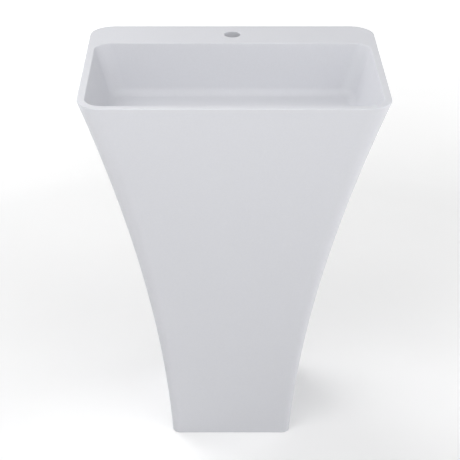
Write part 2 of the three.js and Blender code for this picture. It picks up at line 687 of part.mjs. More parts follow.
// A cone seal about +Z, its large end down.
function coneSeal() {
  const bore = PIPE_RADIUS + GAP;
  const large = THREAD_RADIUS - GAP;
  return turned([[bore, 0], [large, 0], [large - CONE_SEAL_TIP, CONE_SEAL_HEIGHT], [bore, CONE_SEAL_HEIGHT]]);
}

// The tailpiece: a pipe about +Z whose flange is at the top, at height 0.
const tailpiece = () =>
  turned([
    [PIPE_RADIUS - PIPE_WALL, -TAIL_LENGTH],
    [PIPE_RADIUS, -TAIL_LENGTH],
    [PIPE_RADIUS, -TAIL_FLANGE_THICKNESS],
    [WASTE_THREAD_RADIUS - GAP, -TAIL_FLANGE_THICKNESS],
    [WASTE_THREAD_RADIUS - GAP, 0],
    [PIPE_RADIUS - PIPE_WALL, 0],
  ]);

// ---- Bottle trap: heights are measured from the top of its neck ----

function trapBody() {
  const shell = turned([
    [0, CHAMBER_BOTTOM_Z],
    [TRAP_RADIUS, CHAMBER_BOTTOM_Z],
    [TRAP_RADIUS, SHOULDER_Z],
    [THREAD_RADIUS, -NECK_HEIGHT],
    [THREAD_RADIUS, 0],
    [0, 0],
  ]);
  const branch = towardsWall(rod(THREAD_RADIUS, 0, OUTLET_REACH)).translate(0, 0, OUTLET_Z);
  const chamber = rod(CUP_INNER_RADIUS, CHAMBER_BOTTOM_Z - PAST, SHOULDER_Z - TRAP_WALL);
  const dipTube = rod(DIP_TUBE_RADIUS, DIP_TUBE_END_Z, SHOULDER_Z - TRAP_WALL + PAST);
  const inlet = rod(TRAP_BORE, DIP_TUBE_END_Z - PAST, PAST);
  const outlet = towardsWall(rod(TRAP_BORE, DIP_TUBE_RADIUS + PAST, OUTLET_REACH + PAST));
  const hollow = cut(join(shell, branch), chamber);
  return cut(join(hollow, dipTube), inlet, outlet.translate(0, 0, OUTLET_Z));
}

function trapCup() {
  const inner = TRAP_RADIUS + GAP;
  const collar = inner + CUP_COLLAR_WALL;
  const base = TRAP_RADIUS - CUP_BASE_INSET;
  const bottom = CUP_LEDGE_Z - CUP_DEPTH;
  const shell = turned([
    [0, bottom - CUP_BASE_HEIGHT],
    [base, bottom - CUP_BASE_HEIGHT],
    [TRAP_RADIUS, bottom],
    [TRAP_RADIUS, CUP_LEDGE_Z - TRAP_WALL],
    [collar, CUP_LEDGE_Z],
    [collar, CUP_TOP_Z],
    [inner, CUP_TOP_Z],
    [inner, CUP_LEDGE_Z],
    [CUP_INNER_RADIUS, CUP_LEDGE_Z],
    [CUP_INNER_RADIUS, bottom],
    [base - TRAP_WALL, bottom - CUP_BASE_HEIGHT + TRAP_WALL],
    [0, bottom - CUP_BASE_HEIGHT + TRAP_WALL],
  ]);
  const ribs = spokes(CUP_RIBS, inner + PAST, collar + RIB_DEPTH, RIB_WIDTH, CUP_LEDGE_Z + PAST, CUP_TOP_Z);
  return join(shell, ...ribs);
}

const cupSeal = () => ring(CUP_INNER_RADIUS + GAP, TRAP_RADIUS, CUP_SEAL_Z, CUP_SEAL_Z + CUP_SEAL_THICKNESS);

// ---- Waste arm and wall flange: along +Y from the trap's axis ----

const wasteArm = () =>
  towardsWall(ring(PIPE_RADIUS - PIPE_WALL, PIPE_RADIUS, OUTLET_REACH - ARM_IN_OUTLET, WALL_FROM_TRAP));

function wallFlange() {
  const bore = PIPE_RADIUS + GAP;
  const collar = bore + WALL_FLANGE_COLLAR_WALL;
  const rim = PIPE_RADIUS + WALL_FLANGE_OVERHANG;
  return towardsWall(
    turned([
      [bore, WALL_FROM_TRAP - WALL_FLANGE_COLLAR],
      [collar, WALL_FROM_TRAP - WALL_FLANGE_COLLAR],
      [collar, WALL_FROM_TRAP - 2 * WALL_FLANGE_THICKNESS],
      [rim, WALL_FROM_TRAP - WALL_FLANGE_THICKNESS / 2],
      [rim, WALL_FROM_TRAP],
      [bore, WALL_FROM_TRAP],
    ]),
  );
}

// ---- Assembly ----

function piece(name, geometry, material) {
  const mesh = new THREE.Mesh(geometry, material);
  mesh.name = name;
  return mesh;
}

function at(x, y, z, ...pieces) {
  const group = new THREE.Group();
  group.position.set(x, y, z);
  group.add(...pieces);
  return group;
}

const castings = at(
  0,
  0,
  0,
  piece("sink_body", sinkBody(), STONE_RESIN),
  piece("back_panel", backPanel(), STONE_RESIN),
);

const bushes = SIDES.map(([label, side]) =>
  at(side * WALL_FIX_X, BACK_Y - PANEL_THICKNESS, WALL_FIX_Z, piece(`wall_bush_${label}`, wallBush(), NYLON)),
);

const waste = at(
  0,
  DRAIN_Y,
  FLANGE_Z,
  piece("waste_body", wasteBody(), CHROME),
  piece(
    "flange_gasket",
    ring(DRAIN_HOLE_RADIUS, FLANGE_RADIUS, -GAP - FLANGE_GASKET_THICKNESS, -GAP),
    SOFT_SEAL,
  ),
  piece("stopper_cap", stopperCap(), CHROME),
  piece("stopper_seal", ring(SEAL_INNER_RADIUS, SEAL_OUTER_RADIUS, SEAL_Z, SEAL_Z + SEAL_THICKNESS), RUBBER),
  piece("stopper_stem", stopperStem(), BRASS),
  piece("click_sleeve", clickSleeve(), BRASS),
  piece("click_spring", clickSpring(), STEEL),
);

const clamp = at(
  0,
  DRAIN_Y,
  FLOOR_UNDERSIDE_Z,
  piece("lower_gasket", lowerGasket(), RUBBER),
  piece(
    "slip_ring",
    ring(CLAMP_BORE, DRAIN_HOLE_RADIUS + SLIP_RING_OVERLAP, SLIP_RING_BOTTOM, SLIP_RING_TOP),
    NYLON,
  ),
  piece("waste_locknut", locknut(), BRASS),
);

const tail = at(
  0,
  DRAIN_Y,
  TAIL_Z,
  piece(
    "tail_washer",
    ring(PIPE_RADIUS - PIPE_WALL, WASTE_THREAD_RADIUS - GAP, GAP, GAP + TAIL_WASHER_THICKNESS),
    RUBBER,
  ),
  piece("tailpiece", tailpiece(), WHITE_PLASTIC),
  piece(
    "tail_nut",
    unionNut(WASTE_THREAD_RADIUS, PIPE_RADIUS + SLIP).translate(0, 0, -TAIL_FLANGE_THICKNESS - GAP - NUT_LIP),
    WHITE_PLASTIC,
  ),
);

const SEAL_AND_LIP = GAP + CONE_SEAL_HEIGHT + GAP + NUT_LIP; // from a thread's end to the nut's outer face
const neckNut = unionNut(THREAD_RADIUS, PIPE_RADIUS + SLIP).rotateX(Math.PI).translate(0, 0, SEAL_AND_LIP);
const outletNut = towardsWall(unionNut(THREAD_RADIUS, PIPE_RADIUS + SLIP).rotateX(Math.PI));
const trap = at(
  0,
  DRAIN_Y,
  NECK_Z,
  piece("trap_body", trapBody(), WHITE_PLASTIC),
  piece("neck_seal", coneSeal().translate(0, 0, GAP), RUBBER),
  piece("neck_nut", neckNut, WHITE_PLASTIC),
  piece("cup_seal", cupSeal(), RUBBER),
  piece("trap_cup", trapCup(), WHITE_PLASTIC),
  at(
    0,
    0,
    OUTLET_Z,
    piece("outlet_seal", towardsWall(coneSeal()).translate(0, OUTLET_REACH + GAP, 0), RUBBER),
    piece("outlet_nut", outletNut.translate(0, OUTLET_REACH + SEAL_AND_LIP, 0), WHITE_PLASTIC),
    piece("waste_arm", wasteArm(), WHITE_PLASTIC),
    piece("wall_flange", wallFlange(), WHITE_PLASTIC),
  ),
);

const floorFixings = SIDES.flatMap(([label, side]) => [
  piece(`floor_bracket_${label}`, bracket(side), ZINC),
  ...BOLT_Y.flatMap((y, i) => [
    piece(`bracket_bolt_${label}_${i + 1}`, bolt(side, y), STEEL),
    piece(`bracket_insert_${label}_${i + 1}`, insert(side, y), BRASS),
  ]),
]);

const sink = new THREE.Group();
sink.add(castings, ...bushes, waste, clamp, tail, trap, ...floorFixings);

export default sink;
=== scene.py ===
"""The pedestal sink's looks: smooth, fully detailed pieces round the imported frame, a studio and a camera.

Sizes are in millimetres. Meshes are scaled to metres as they are made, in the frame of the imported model:
the floor at z = 0, the front at -Y and the wall at +Y.
"""

import json
import math

import bpy
from mathutils import Matrix, Vector


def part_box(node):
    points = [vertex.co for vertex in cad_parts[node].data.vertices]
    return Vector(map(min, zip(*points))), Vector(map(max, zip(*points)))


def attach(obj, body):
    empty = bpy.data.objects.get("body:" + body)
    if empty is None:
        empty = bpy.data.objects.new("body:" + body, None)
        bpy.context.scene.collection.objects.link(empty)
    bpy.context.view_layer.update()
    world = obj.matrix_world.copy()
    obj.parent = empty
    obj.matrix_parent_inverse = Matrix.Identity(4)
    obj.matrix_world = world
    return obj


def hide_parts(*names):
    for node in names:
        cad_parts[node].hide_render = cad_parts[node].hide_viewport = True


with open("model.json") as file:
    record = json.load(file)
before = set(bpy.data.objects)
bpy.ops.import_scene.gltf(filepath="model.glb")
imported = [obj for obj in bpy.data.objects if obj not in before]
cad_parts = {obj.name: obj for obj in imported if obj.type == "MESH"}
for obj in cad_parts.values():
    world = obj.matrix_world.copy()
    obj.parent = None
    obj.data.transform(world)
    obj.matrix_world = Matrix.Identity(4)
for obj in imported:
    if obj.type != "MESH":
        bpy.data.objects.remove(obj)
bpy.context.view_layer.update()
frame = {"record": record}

MM = 0.001
CLEAR = 0.3  # between faces that touch
PAST = 1.0  # how far a cutting shape runs past the face it opens
OVERLAP = 0.1  # between shapes that are joined
FINE = 96  # sides of a turned piece
FINER = 288  # sides of a turned piece with ribs or a knurl
SIDES = (("left", -1), ("right", 1))

record = frame["record"]
BODY_OF = {node: body for body, nodes in record["behaviour"]["bodies"].items() for node in nodes}
SLOT_OF = {part["node"]: part["material_slot"] for part in record["subparts"]}


class Place:
    """Where a CAD node is at rest."""

    def __init__(self, node):
        low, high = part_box(node)
        self.low = low / MM
        self.high = high / MM
        self.middle = (self.low + self.high) / 2
        self.radius = (self.high.x - self.low.x) / 2


# ---- Meshes ----


def span(start, end, count):
    """Evenly spaced values, both ends included."""
    return [start + (end - start) * i / count for i in range(count + 1)]


def new_object(name, points, faces):
    mesh = bpy.data.meshes.new(name)
    mesh.from_pydata(points, [], faces)
    mesh.transform(Matrix.Scale(MM, 4))
    made = bpy.data.objects.new(name, mesh)
    bpy.context.scene.collection.objects.link(made)
    return made


def rounded(profile, radius, steps=4):
    """A closed profile with its corners rounded. A corner may give its own radius as a third number."""
    out = []
    for i, corner in enumerate(profile):
        here = Vector(corner[:2])
        wanted = corner[2] if len(corner) > 2 else radius
        before = Vector(profile[i - 1][:2]) - here
        after = Vector(profile[(i + 1) % len(profile)][:2]) - here
        if wanted <= 0 or here.x <= 0:
            out.append(tuple(here))
            continue
        half = before.angle(after) / 2
        reach = min(wanted / math.tan(half), 0.45 * before.length, 0.45 * after.length)
        start = here + before.normalized() * reach
        end = here + after.normalized() * reach
        for share in span(0, 1, steps):
            curve = start * (1 - share) ** 2 + here * 2 * share * (1 - share) + end * share**2
            out.append(tuple(curve))
    return out


def turned(name, profile, sides=FINE, relief=None):
    """A shape turned about +Z from an anticlockwise closed profile of (radius, height).

    A profile that touches the axis starts and ends there.
    relief(radius, height, angle) moves points outwards.
    """
    on_axis = profile[0][0] == 0 and profile[-1][0] == 0
    rows, points = [], []
    for radius, height in profile:
        rows.append((len(points), radius == 0))
        if radius == 0:
            points.append((0, 0, height))
            continue
        for step in range(sides):
            angle = 2 * math.pi * step / sides
            reach = radius + (relief(radius, height, angle) if relief else 0)
            points.append((reach * math.cos(angle), reach * math.sin(angle), height))
    faces = []
    count = len(rows)
    for i in range(count - 1 if on_axis else count):
        (low, low_pole), (high, high_pole) = rows[i], rows[(i + 1) % count]
        for step in range(sides):
            after = (step + 1) % sides
            if low_pole:
                faces.append((low, high + after, high + step))
            elif high_pole:
                faces.append((low + step, low + after, high))
            else:
                faces.append((low + step, low + after, high + after, high + step))
    return new_object(name, points, faces)


def rod_profile(radius, bottom, top):
    return [(0, bottom), (radius, bottom), (radius, top), (0, top)]


def straight(radius, heights):
    """Points of a profile at one radius."""
    return [(radius, z) for z in heights]


def loft(name, sections, bottom_point=None):
    """Skins a stack of sections of equal length, each an anticlockwise ring, and closes both ends."""
    count = len(sections[0])
    points = [point for section in sections for point in section]
    faces = []
    for row in range(len(sections) - 1):
        low, high = row * count, (row + 1) * count
        for i in range(count):
            after = (i + 1) % count
            faces.append((low + i, low + after, high + after, high + i))
    faces.append(tuple(range(len(points) - count, len(points))))
    if bottom_point is None:
        faces.append(tuple(reversed(range(count))))
    else:
        points.append(bottom_point)
        faces += [(len(points) - 1, (i + 1) % count, i) for i in range(count)]
    return new_object(name, points, faces)


def plate(name, outline, y0, y1):
    """An anticlockwise outline in x and z, seen from the front, made solid from one y to another."""
    front = [(x, y0, z) for x, z in outline]
    back = [(x, y1, z) for x, z in outline]
    count = len(outline)
    faces = [tuple(range(count)), tuple(reversed(range(count, 2 * count)))]
    for i in range(count):
        after = (i + 1) % count
        faces.append((i, count + i, count + after, after))
    return new_object(name, front + back, faces)


def moved(made, x=0, y=0, z=0):
    made.data.transform(Matrix.Translation(Vector((x, y, z)) * MM))
    return made


def towards_wall(made):
    """Turns a shape about +Z so that its top points to the wall."""
    made.data.transform(Matrix.Rotation(-math.pi / 2, 4, "X"))
    return made


def upside_down(made):
    made.data.transform(Matrix.Rotation(math.pi, 4, "X"))
    return made


def apply_modifiers(made):
    view = bpy.context.evaluated_depsgraph_get()
    mesh = bpy.data.meshes.new_from_object(made.evaluated_get(view))
    made.modifiers.clear()
    made.data = mesh
    return made


def combine(operation, made, tools):
    for tool in tools:
        modifier = made.modifiers.new("combine", "BOOLEAN")
        modifier.operation = operation
        modifier.solver = "MANIFOLD"
        modifier.object = tool
    apply_modifiers(made)
    for tool in tools:
        bpy.data.objects.remove(tool)
    return made


def cut(made, *tools):
    return combine("DIFFERENCE", made, tools)


def join(made, *others):
    return combine("UNION", made, others)


def common(made, *others):
    return combine("INTERSECT", made, others)


def soften(made, width, segments=2, angle=40):
    """Rounds every edge that is sharper than an angle."""
    modifier = made.modifiers.new("soften", "BEVEL")
    modifier.width = width * MM
    modifier.segments = segments
    modifier.limit_method = "ANGLE"
    modifier.angle_limit = math.radians(angle)
    return apply_modifiers(made)


def smooth(made, angle=32):
    """Smooth shading that keeps edges sharper than an angle, with flat faces shaded flat."""
    made.data.shade_smooth()
    made.data.set_sharp_from_angle(angle=math.radians(angle))
    modifier = made.modifiers.new("normals", "WEIGHTED_NORMAL")
    modifier.keep_sharp = True
    return made


# ---- Threads, ribs and knurls, as reliefs on a turned shape ----


SAME_RADIUS = 0.01  # a relief leaves points further than this from its radius alone
ROWS_PER_PITCH = 8


def wave(share):
    """0 to 1 and back over each whole share."""
    return 1 - abs(2 * (share % 1) - 1)


def fade(value, low, high, run):
    """1 between low and high, falling to 0 over a run inside each end."""
    return max(0.0, min(1.0, (value - low) / run, (high - value) / run))


def thread(radius, low, high, pitch, depth):
    """A helical groove with a flat bottom, cut into a surface at a radius."""

    def relief(r, z, angle):
        if abs(r - radius) > SAME_RADIUS:
            return 0
        groove = min(1, 1.25 * wave((z - low) / pitch - angle / (2 * math.pi)))
        return -depth * groove * fade(z, low, high, pitch / 2)

    return relief


def thread_rows(low, high, pitch):
    """Heights close enough together to carry a thread."""
    return span(low, high, math.ceil((high - low) / pitch * ROWS_PER_PITCH))


def ribs(radius, low, high, count, width, height):
    """Upright ribs with round tops on a surface at a radius."""
    pitch = 2 * math.pi * radius / count

    def relief(r, z, angle):
        if abs(r - radius) > SAME_RADIUS:
            return 0
        away = abs((angle * count / (2 * math.pi) + 0.5) % 1 - 0.5) * pitch
        share = max(0.0, 1 - (2 * away / width) ** 4)
        return height * share * fade(z, low, high, height)

    return relief


def together(*reliefs):
    return lambda r, z, angle: sum(relief(r, z, angle) for relief in reliefs)


# ---- The body's form ----

BODY = Place("sink_body")
PANEL = Place("back_panel")
DRAIN = Place("waste_body")
ARM = Place("waste_arm")

RIM_Z = BODY.high.z
BACK_Y = BODY.high.y
FRONT_Y = BODY.low.y
FOOT_WIDTH = 260
FOOT_DEPTH = 300
RIM_CORNER = 50
FOOT_CORNER = 17
LEAST_CORNER = 2
FLARE_AT_FOOT = 0.31
FLARE_AT_RIM = 1.58
RIM_ROUND = 2
FOOT_ROUND = 1.2
WALL = 15.5
DECK_THICKNESS = 16
BOWL_DEPTH = 107
FLOOR_FALL = 5
FLOOR_THICKNESS = 16
FLOOR_FILLET = 15
DECK_DEPTH = 105
BACK_LEAN = 0.2
BACK_WALL = 14
TAP_HOLE_RADIUS = 17
TAP_HOLE_FROM_BACK = 52
TAP_HOLE_EDGE = 0.8
DRAIN_HOLE_RADIUS = 22.5
FLANGE_RECESS_CLEARANCE = 1.5
RECESS_DEPTH = 3.7
PANEL_LEDGE = 12
PANEL_EDGE = 0.8
SERVICE_WIDTH = 200
SERVICE_BELOW_OUTLET = 136
SERVICE_ABOVE_OUTLET = 114
SERVICE_CORNER = 25

BODY_LEVELS = 96
CORNER_STEPS = 14
EDGE_STEPS = 14
ROUND_STEPS = 6
FILLET_STEPS = 12

BOWL_FLOOR_Z = RIM_Z - BOWL_DEPTH
DRAIN_FLOOR_Z = BOWL_FLOOR_Z - FLOOR_FALL
UNDERSIDE_Z = DRAIN_FLOOR_Z - FLOOR_THICKNESS
PANEL_SETBACK = 45


def flare(z):
    """Share of the way from the foot's size to the rim's size: a cubic with a set slope at each end."""
    t = min(z / (RIM_Z - RIM_ROUND), 1)
    squared = 3 - 2 * FLARE_AT_FOOT - FLARE_AT_RIM
    cubed = FLARE_AT_FOOT + FLARE_AT_RIM - 2
    return FLARE_AT_FOOT * t + squared * t**2 + cubed * t**3


def half_width(z):
    return FOOT_WIDTH / 2 + (BODY.radius - FOOT_WIDTH / 2) * flare(z)


def front_y(z):
    foot_front = BACK_Y - FOOT_DEPTH
    return foot_front + (FRONT_Y - foot_front) * flare(z)


def section(z, half, front, back, radius):
    """A rounded rectangle seen from above, at one height, with points along its straight sides."""
    centres = (
        (half - radius, back - radius),
        (radius - half, back - radius),
        (radius - half, front + radius),
        (half - radius, front + radius),
    )
    corners = []
    for quarter, (x, y) in enumerate(centres):
        for turn in span(quarter, quarter + 1, CORNER_STEPS):
            angle = turn * math.pi / 2
            corners.append((x + radius * math.cos(angle), y + radius * math.sin(angle), z))
    points = []
    for i, (x, y, _) in enumerate(corners):
        points.append((x, y, z))
        if i % (CORNER_STEPS + 1) == CORNER_STEPS:
            next_x, next_y, _ = corners[(i + 1) % len(corners)]
            for share in span(0, 1, EDGE_STEPS)[1:-1]:
                points.append((x + (next_x - x) * share, y + (next_y - y) * share, z))
    return points


def body_section(z, inset):
    radius = max(FOOT_CORNER + (RIM_CORNER - FOOT_CORNER) * flare(z) - inset, LEAST_CORNER)
    return section(z, half_width(z) - inset, front_y(z) + inset, BACK_Y - inset, radius)


def bowl_back_y(z):
    return BACK_Y - DECK_DEPTH - BACK_LEAN * (RIM_Z - z)


def bowl_section(z, inset, place=None):
    half = half_width(z) - WALL - inset
    ring = section(z, half, front_y(z) + WALL + inset, bowl_back_y(z) - inset, RIM_CORNER - WALL - inset)
    return [(x, y, z if place is None else place) for x, y, _ in ring]


def quarter_round(steps):
    """Pairs of (share of the radius along, share of the radius in)."""
    return [(math.sin(a), 1 - math.cos(a)) for a in span(0, math.pi / 2, steps)]


def body_levels(low, high):
    """The heights of the body's sections between two heights, which are sections themselves."""
    between = [z for z in span(0, RIM_Z, BODY_LEVELS) if low + 1 < z < high - 1]
    return [low, *between, high]


def round_below(section_at, z, radius, steps=ROUND_STEPS):
    """Sections of a form whose lower edge, at a height, is rounded."""
    shares = reversed(quarter_round(steps))
    return [section_at(z + radius * (1 - along), radius * inwards) for along, inwards in shares]


def round_above(section_at, z, radius, inset):
    """Sections of a form whose upper edge, at a height, turns inwards, or outwards for a negative inset."""
    shares = quarter_round(ROUND_STEPS)
    return [section_at(z - radius * (1 - along), inset * inwards) for along, inwards in shares]


def outer_form():
    foot = round_below(body_section, 0, FOOT_ROUND)
    walls = [body_section(z, 0) for z in body_levels(FOOT_ROUND, RIM_Z - RIM_ROUND)[1:-1]]
    rim = round_above(body_section, RIM_Z, RIM_ROUND, RIM_ROUND)
    return loft("sink_body_look", foot + walls + rim)


def bowl_cavity():
    fillet = round_below(bowl_section, BOWL_FLOOR_Z, FLOOR_FILLET, FILLET_STEPS)
    between = body_levels(BOWL_FLOOR_Z + FLOOR_FILLET, RIM_Z - RIM_ROUND)[1:-1]
    walls = [bowl_section(z, 0) for z in between]
    mouth = round_above(bowl_section, RIM_Z, RIM_ROUND, -RIM_ROUND)
    above = bowl_section(RIM_Z, -RIM_ROUND, RIM_Z + DECK_THICKNESS)
    drain = (DRAIN.middle.x, DRAIN.middle.y, DRAIN_FLOOR_Z)
    return loft("bowl", fillet + walls + mouth + [above], drain)


def pedestal_cavity():
    heights = body_levels(-WALL, RIM_Z - DECK_THICKNESS)
    hollow = loft("hollow", [body_section(z, WALL) for z in heights])
    block = loft(
        "block",
        [
            section(z, 2 * BODY.radius, FRONT_Y - WALL, bowl_back_y(z) + BACK_WALL, BACK_WALL)
            for z in (UNDERSIDE_Z, RIM_Z + DECK_THICKNESS)
        ],
    )
    return cut(hollow, block)


def panel_outline(grow, bottom, top):
    """The panel's outline: its sides keep their distance from the body's flare."""
    side = [(half_width(z) - PANEL_SETBACK + grow, z) for z in body_levels(bottom, top + grow)]
    return side + [(-x, z) for x, z in reversed(side)]


def panel_windows():
    ledge_y = PANEL.low.y - CLEAR
    bottom = -WALL
    return [
        plate("window", panel_outline(CLEAR, bottom, PANEL.high.z), ledge_y, BACK_Y + WALL),
        plate(
            "window",
            panel_outline(-PANEL_LEDGE, bottom, PANEL.high.z),
            BACK_Y - WALL - PAST,
            ledge_y + PAST,
        ),
    ]


def flared_hole(radius, bottom, top, edge):
    """A cutting shape for a hole whose upper edge is rounded."""
    mouth = [
        (radius + edge * (1 - math.cos(a)), top - edge + edge * math.sin(a))
        for a in span(0, math.pi / 2, ROUND_STEPS)
    ]
    shaft = [(0, bottom - PAST), (radius, bottom - PAST)]
    above = [(radius + edge, top + PAST), (0, top + PAST)]
    return turned("hole", shaft + mouth + above)


# ---- Floor fixings ----

BRACKET = Place("floor_bracket_right")
BRACKET_THICKNESS = 3
BRACKET_BEND = 4  # outer radius of the bend
BRACKET_INNER_BEND = 2
BRACKET_EDGE = 0.4
BRACKET_CUT_EDGE = 0.25
BRACKET_CORNER = 7
FLOOR_HOLE_RADIUS = 4.5
FLOOR_HOLE_IN = 26  # from the upright's outer face
BOLT_HEIGHT = 32
BOLT_RADIUS = 2.7
BOLT_HOLE_RADIUS = 3.3
BOLT_PITCH = 1
BOLT_THREAD_DEPTH = 0.5
HEAD_FLATS = 10
HEAD_HEIGHT = 4
WASHER_HEIGHT = 0.9
HEAD_Z = -BRACKET_THICKNESS - 3 * CLEAR  # underside of a bolt's head, from the wall's face
BOLT_LENGTH = 12
HEXAGON_CHAMFER = 0.5  # rise over run
INSERT_RADIUS = 4.5
INSERT_BORE_RADIUS = 3
INSERT_LENGTH = 10.5
INSERT_BEVEL = 0.6
INSERT_THREAD_GROOVE = 0.4
KNURL_ROWS = 24
KNURL_LINES = 24
KNURL_PITCH = 1.6
KNURL_DEPTH = 0.3


def inner_wall_x(z):
    return half_width(z) - WALL


WALL_LEAN = math.atan2(inner_wall_x(BRACKET.high.z) - inner_wall_x(0), BRACKET.high.z)


def to_side(made, side, y):
    """Turns a shape made for the right side round to the left."""
    if side < 0:
        made.data.transform(Matrix.Translation((0, 2 * y * MM, 0)) @ Matrix.Rotation(math.pi, 4, "Z"))
    return made


def on_side_wall(made, side, y):
    """Sets a shape, whose +Z then points into the wall, on the inner face of a side wall."""
    made.data.transform(Matrix.Rotation(math.pi / 2 + WALL_LEAN, 4, "Y"))
    return to_side(moved(made, inner_wall_x(BOLT_HEIGHT), y, BOLT_HEIGHT), side, y)


def bolt_y(label, number):
    return Place(f"bracket_bolt_{label}_{number}").middle.y


def bracket(label, side):
    """A bent plate with rounded corners, a floor hole and two bolt holes."""
    middle_y = BRACKET.middle.y
    face = inner_wall_x(0) - CLEAR
    tip = inner_wall_x(BRACKET.high.z) - CLEAR
    profile = [
        (BRACKET.low.x, 0),
        (face, 0, BRACKET_BEND),
        (tip, BRACKET.high.z),
        (tip - BRACKET_THICKNESS, BRACKET.high.z),
        (face - BRACKET_THICKNESS, BRACKET_THICKNESS, BRACKET_INNER_BEND),
        (BRACKET.low.x, BRACKET_THICKNESS),
    ]
    outline = rounded(profile, BRACKET_EDGE, 6)
    made = plate(f"floor_bracket_{label}_look", outline, BRACKET.low.y, BRACKET.high.y)
    across = (BRACKET.high.y - BRACKET.low.y) / 2
    foot = loft(
        "foot",
        [
            [
                (x + BRACKET.low.x + BRACKET.high.x, y + middle_y, z)
                for x, y, _ in section(0, BRACKET.high.x, -across, across, BRACKET_CORNER)
            ]
            for z in (-PAST, BRACKET.high.z + PAST)
        ],
    )
    upright = loft(
        "upright",
        [
            [
                (x, y + middle_y, z)
                for z, y, _ in reversed(section(0, BRACKET.high.z, -across, across, BRACKET_CORNER))
            ]
            for x in (BRACKET.low.x - PAST, BRACKET.high.x + PAST)
        ],
    )
    common(made, foot, upright)
    floor_hole = turned("hole", rod_profile(FLOOR_HOLE_RADIUS, -PAST, BRACKET_THICKNESS + PAST))
    tools = [moved(floor_hole, face - FLOOR_HOLE_IN, middle_y)]
    for number in (1, 2):
        hole = turned("hole", rod_profile(BOLT_HOLE_RADIUS, -3 * BRACKET_THICKNESS, BRACKET_THICKNESS))
        tools.append(on_side_wall(hole, 1, bolt_y("right", number)))
    cut(made, *tools)
    return to_side(soften(made, BRACKET_CUT_EDGE), side, middle_y)


def hexagon(name, flats, bottom, top):
    """A hexagonal block with the corners of both ends turned off."""
    corner = flats / 2 / math.cos(math.pi / 6)
    made = turned(name, rod_profile(corner, bottom, top), 6)
    round_end = flats / 2 - 0.1
    outside = corner + PAST
    turned_off = [
        (0, bottom),
        (round_end, bottom),
        (outside, bottom + (outside - round_end) * HEXAGON_CHAMFER),
        (outside, top - (outside - round_end) * HEXAGON_CHAMFER),
        (round_end, top),
        (0, top),
    ]
    return common(made, turned("turned", turned_off))


def bolt(label, side, number):
    """A flanged hexagon bolt with a rolled thread."""
    tip = HEAD_Z + BOLT_LENGTH
    washer = HEAD_Z - WASHER_HEIGHT
    name = f"bracket_bolt_{label}_{number}_look"
    made = hexagon(name, HEAD_FLATS - 1, HEAD_Z - HEAD_HEIGHT, washer + OVERLAP)
    rows = thread_rows(HEAD_Z + 2, tip - 0.8, BOLT_PITCH)
    shank = [
        (0, washer - 5 * OVERLAP),
        (BOLT_RADIUS, washer - 5 * OVERLAP),
        *straight(BOLT_RADIUS, rows),
        (BOLT_RADIUS - 0.7, tip),
        (0, tip),
    ]
    relief = thread(BOLT_RADIUS, rows[0], rows[-1], BOLT_PITCH, BOLT_THREAD_DEPTH)
    flange = rounded([(0, washer), (HEAD_FLATS / 2, washer), (HEAD_FLATS / 2, HEAD_Z), (0, HEAD_Z)], 0.3)
    join(made, turned("flange", flange), turned("shank", shank, FINE, relief))
    return on_side_wall(made, side, bolt_y(label, number))


def insert(label, side, number):
    """A knurled threaded insert."""
    low, high = CLEAR, INSERT_LENGTH
    first, last = low + INSERT_BEVEL, high - INSERT_BEVEL
    end_radius = INSERT_RADIUS - INSERT_BEVEL / 2
    profile = [
        (INSERT_BORE_RADIUS, low),
        (end_radius, low),
        *straight(INSERT_RADIUS, span(first, last, KNURL_ROWS)),
        (end_radius, high),
        (INSERT_BORE_RADIUS, high),
        *straight(INSERT_BORE_RADIUS, reversed(thread_rows(first, last, BOLT_PITCH))),
    ]

    def knurl(r, z, angle):
        if r != INSERT_RADIUS:
            return 0
        slant = KNURL_LINES * angle / (2 * math.pi)
        rise = z / KNURL_PITCH
        return -KNURL_DEPTH * max(wave(slant + rise), wave(slant - rise)) ** 4

    bore_thread = thread(INSERT_BORE_RADIUS, low, high, BOLT_PITCH, -INSERT_THREAD_GROOVE)
    relief = together(knurl, bore_thread)
    made = turned(f"bracket_insert_{label}_{number}_look", profile, 2 * FINE, relief)
    return on_side_wall(made, side, bolt_y(label, number))


def insert_pocket(side, y):
    pocket = rod_profile(INSERT_RADIUS + CLEAR, -PAST, INSERT_LENGTH + CLEAR)
    return on_side_wall(turned("pocket", pocket), side, y)


# ---- Castings ----


def sink_body():
    tap = flared_hole(TAP_HOLE_RADIUS, RIM_Z - DECK_THICKNESS, RIM_Z, TAP_HOLE_EDGE)
    drain = turned("drain", rod_profile(DRAIN_HOLE_RADIUS, UNDERSIDE_Z - PAST, BOWL_FLOOR_Z + PAST))
    recess_radius = DRAIN.radius + FLANGE_RECESS_CLEARANCE
    recess = turned("recess", rod_profile(recess_radius, DRAIN_FLOOR_Z - RECESS_DEPTH, BOWL_FLOOR_Z + PAST))
    pockets = [
        insert_pocket(side, bolt_y(label, number)) for label, side in SIDES for number in (1, 2)
    ]
    return cut(
        outer_form(),
        bowl_cavity(),
        pedestal_cavity(),
        *panel_windows(),
        moved(tap, y=BACK_Y - TAP_HOLE_FROM_BACK),
        moved(drain, y=DRAIN.middle.y),
        moved(recess, y=DRAIN.middle.y),
        *pockets,
    )


def service_window():
    """The service opening's outline, placed from the trap's outlet."""
    outlet_z = ARM.middle.z
    low, high = outlet_z - SERVICE_BELOW_OUTLET, outlet_z + SERVICE_ABOVE_OUTLET
    half = SERVICE_WIDTH / 2
    outline = [(-half, low), (half, low), (half, high), (-half, high)]
    return [
        point
        for i, corner in enumerate(outline)
        for point in corner_arc(outline[i - 1], corner, outline[(i + 1) % 4], SERVICE_CORNER)
    ]


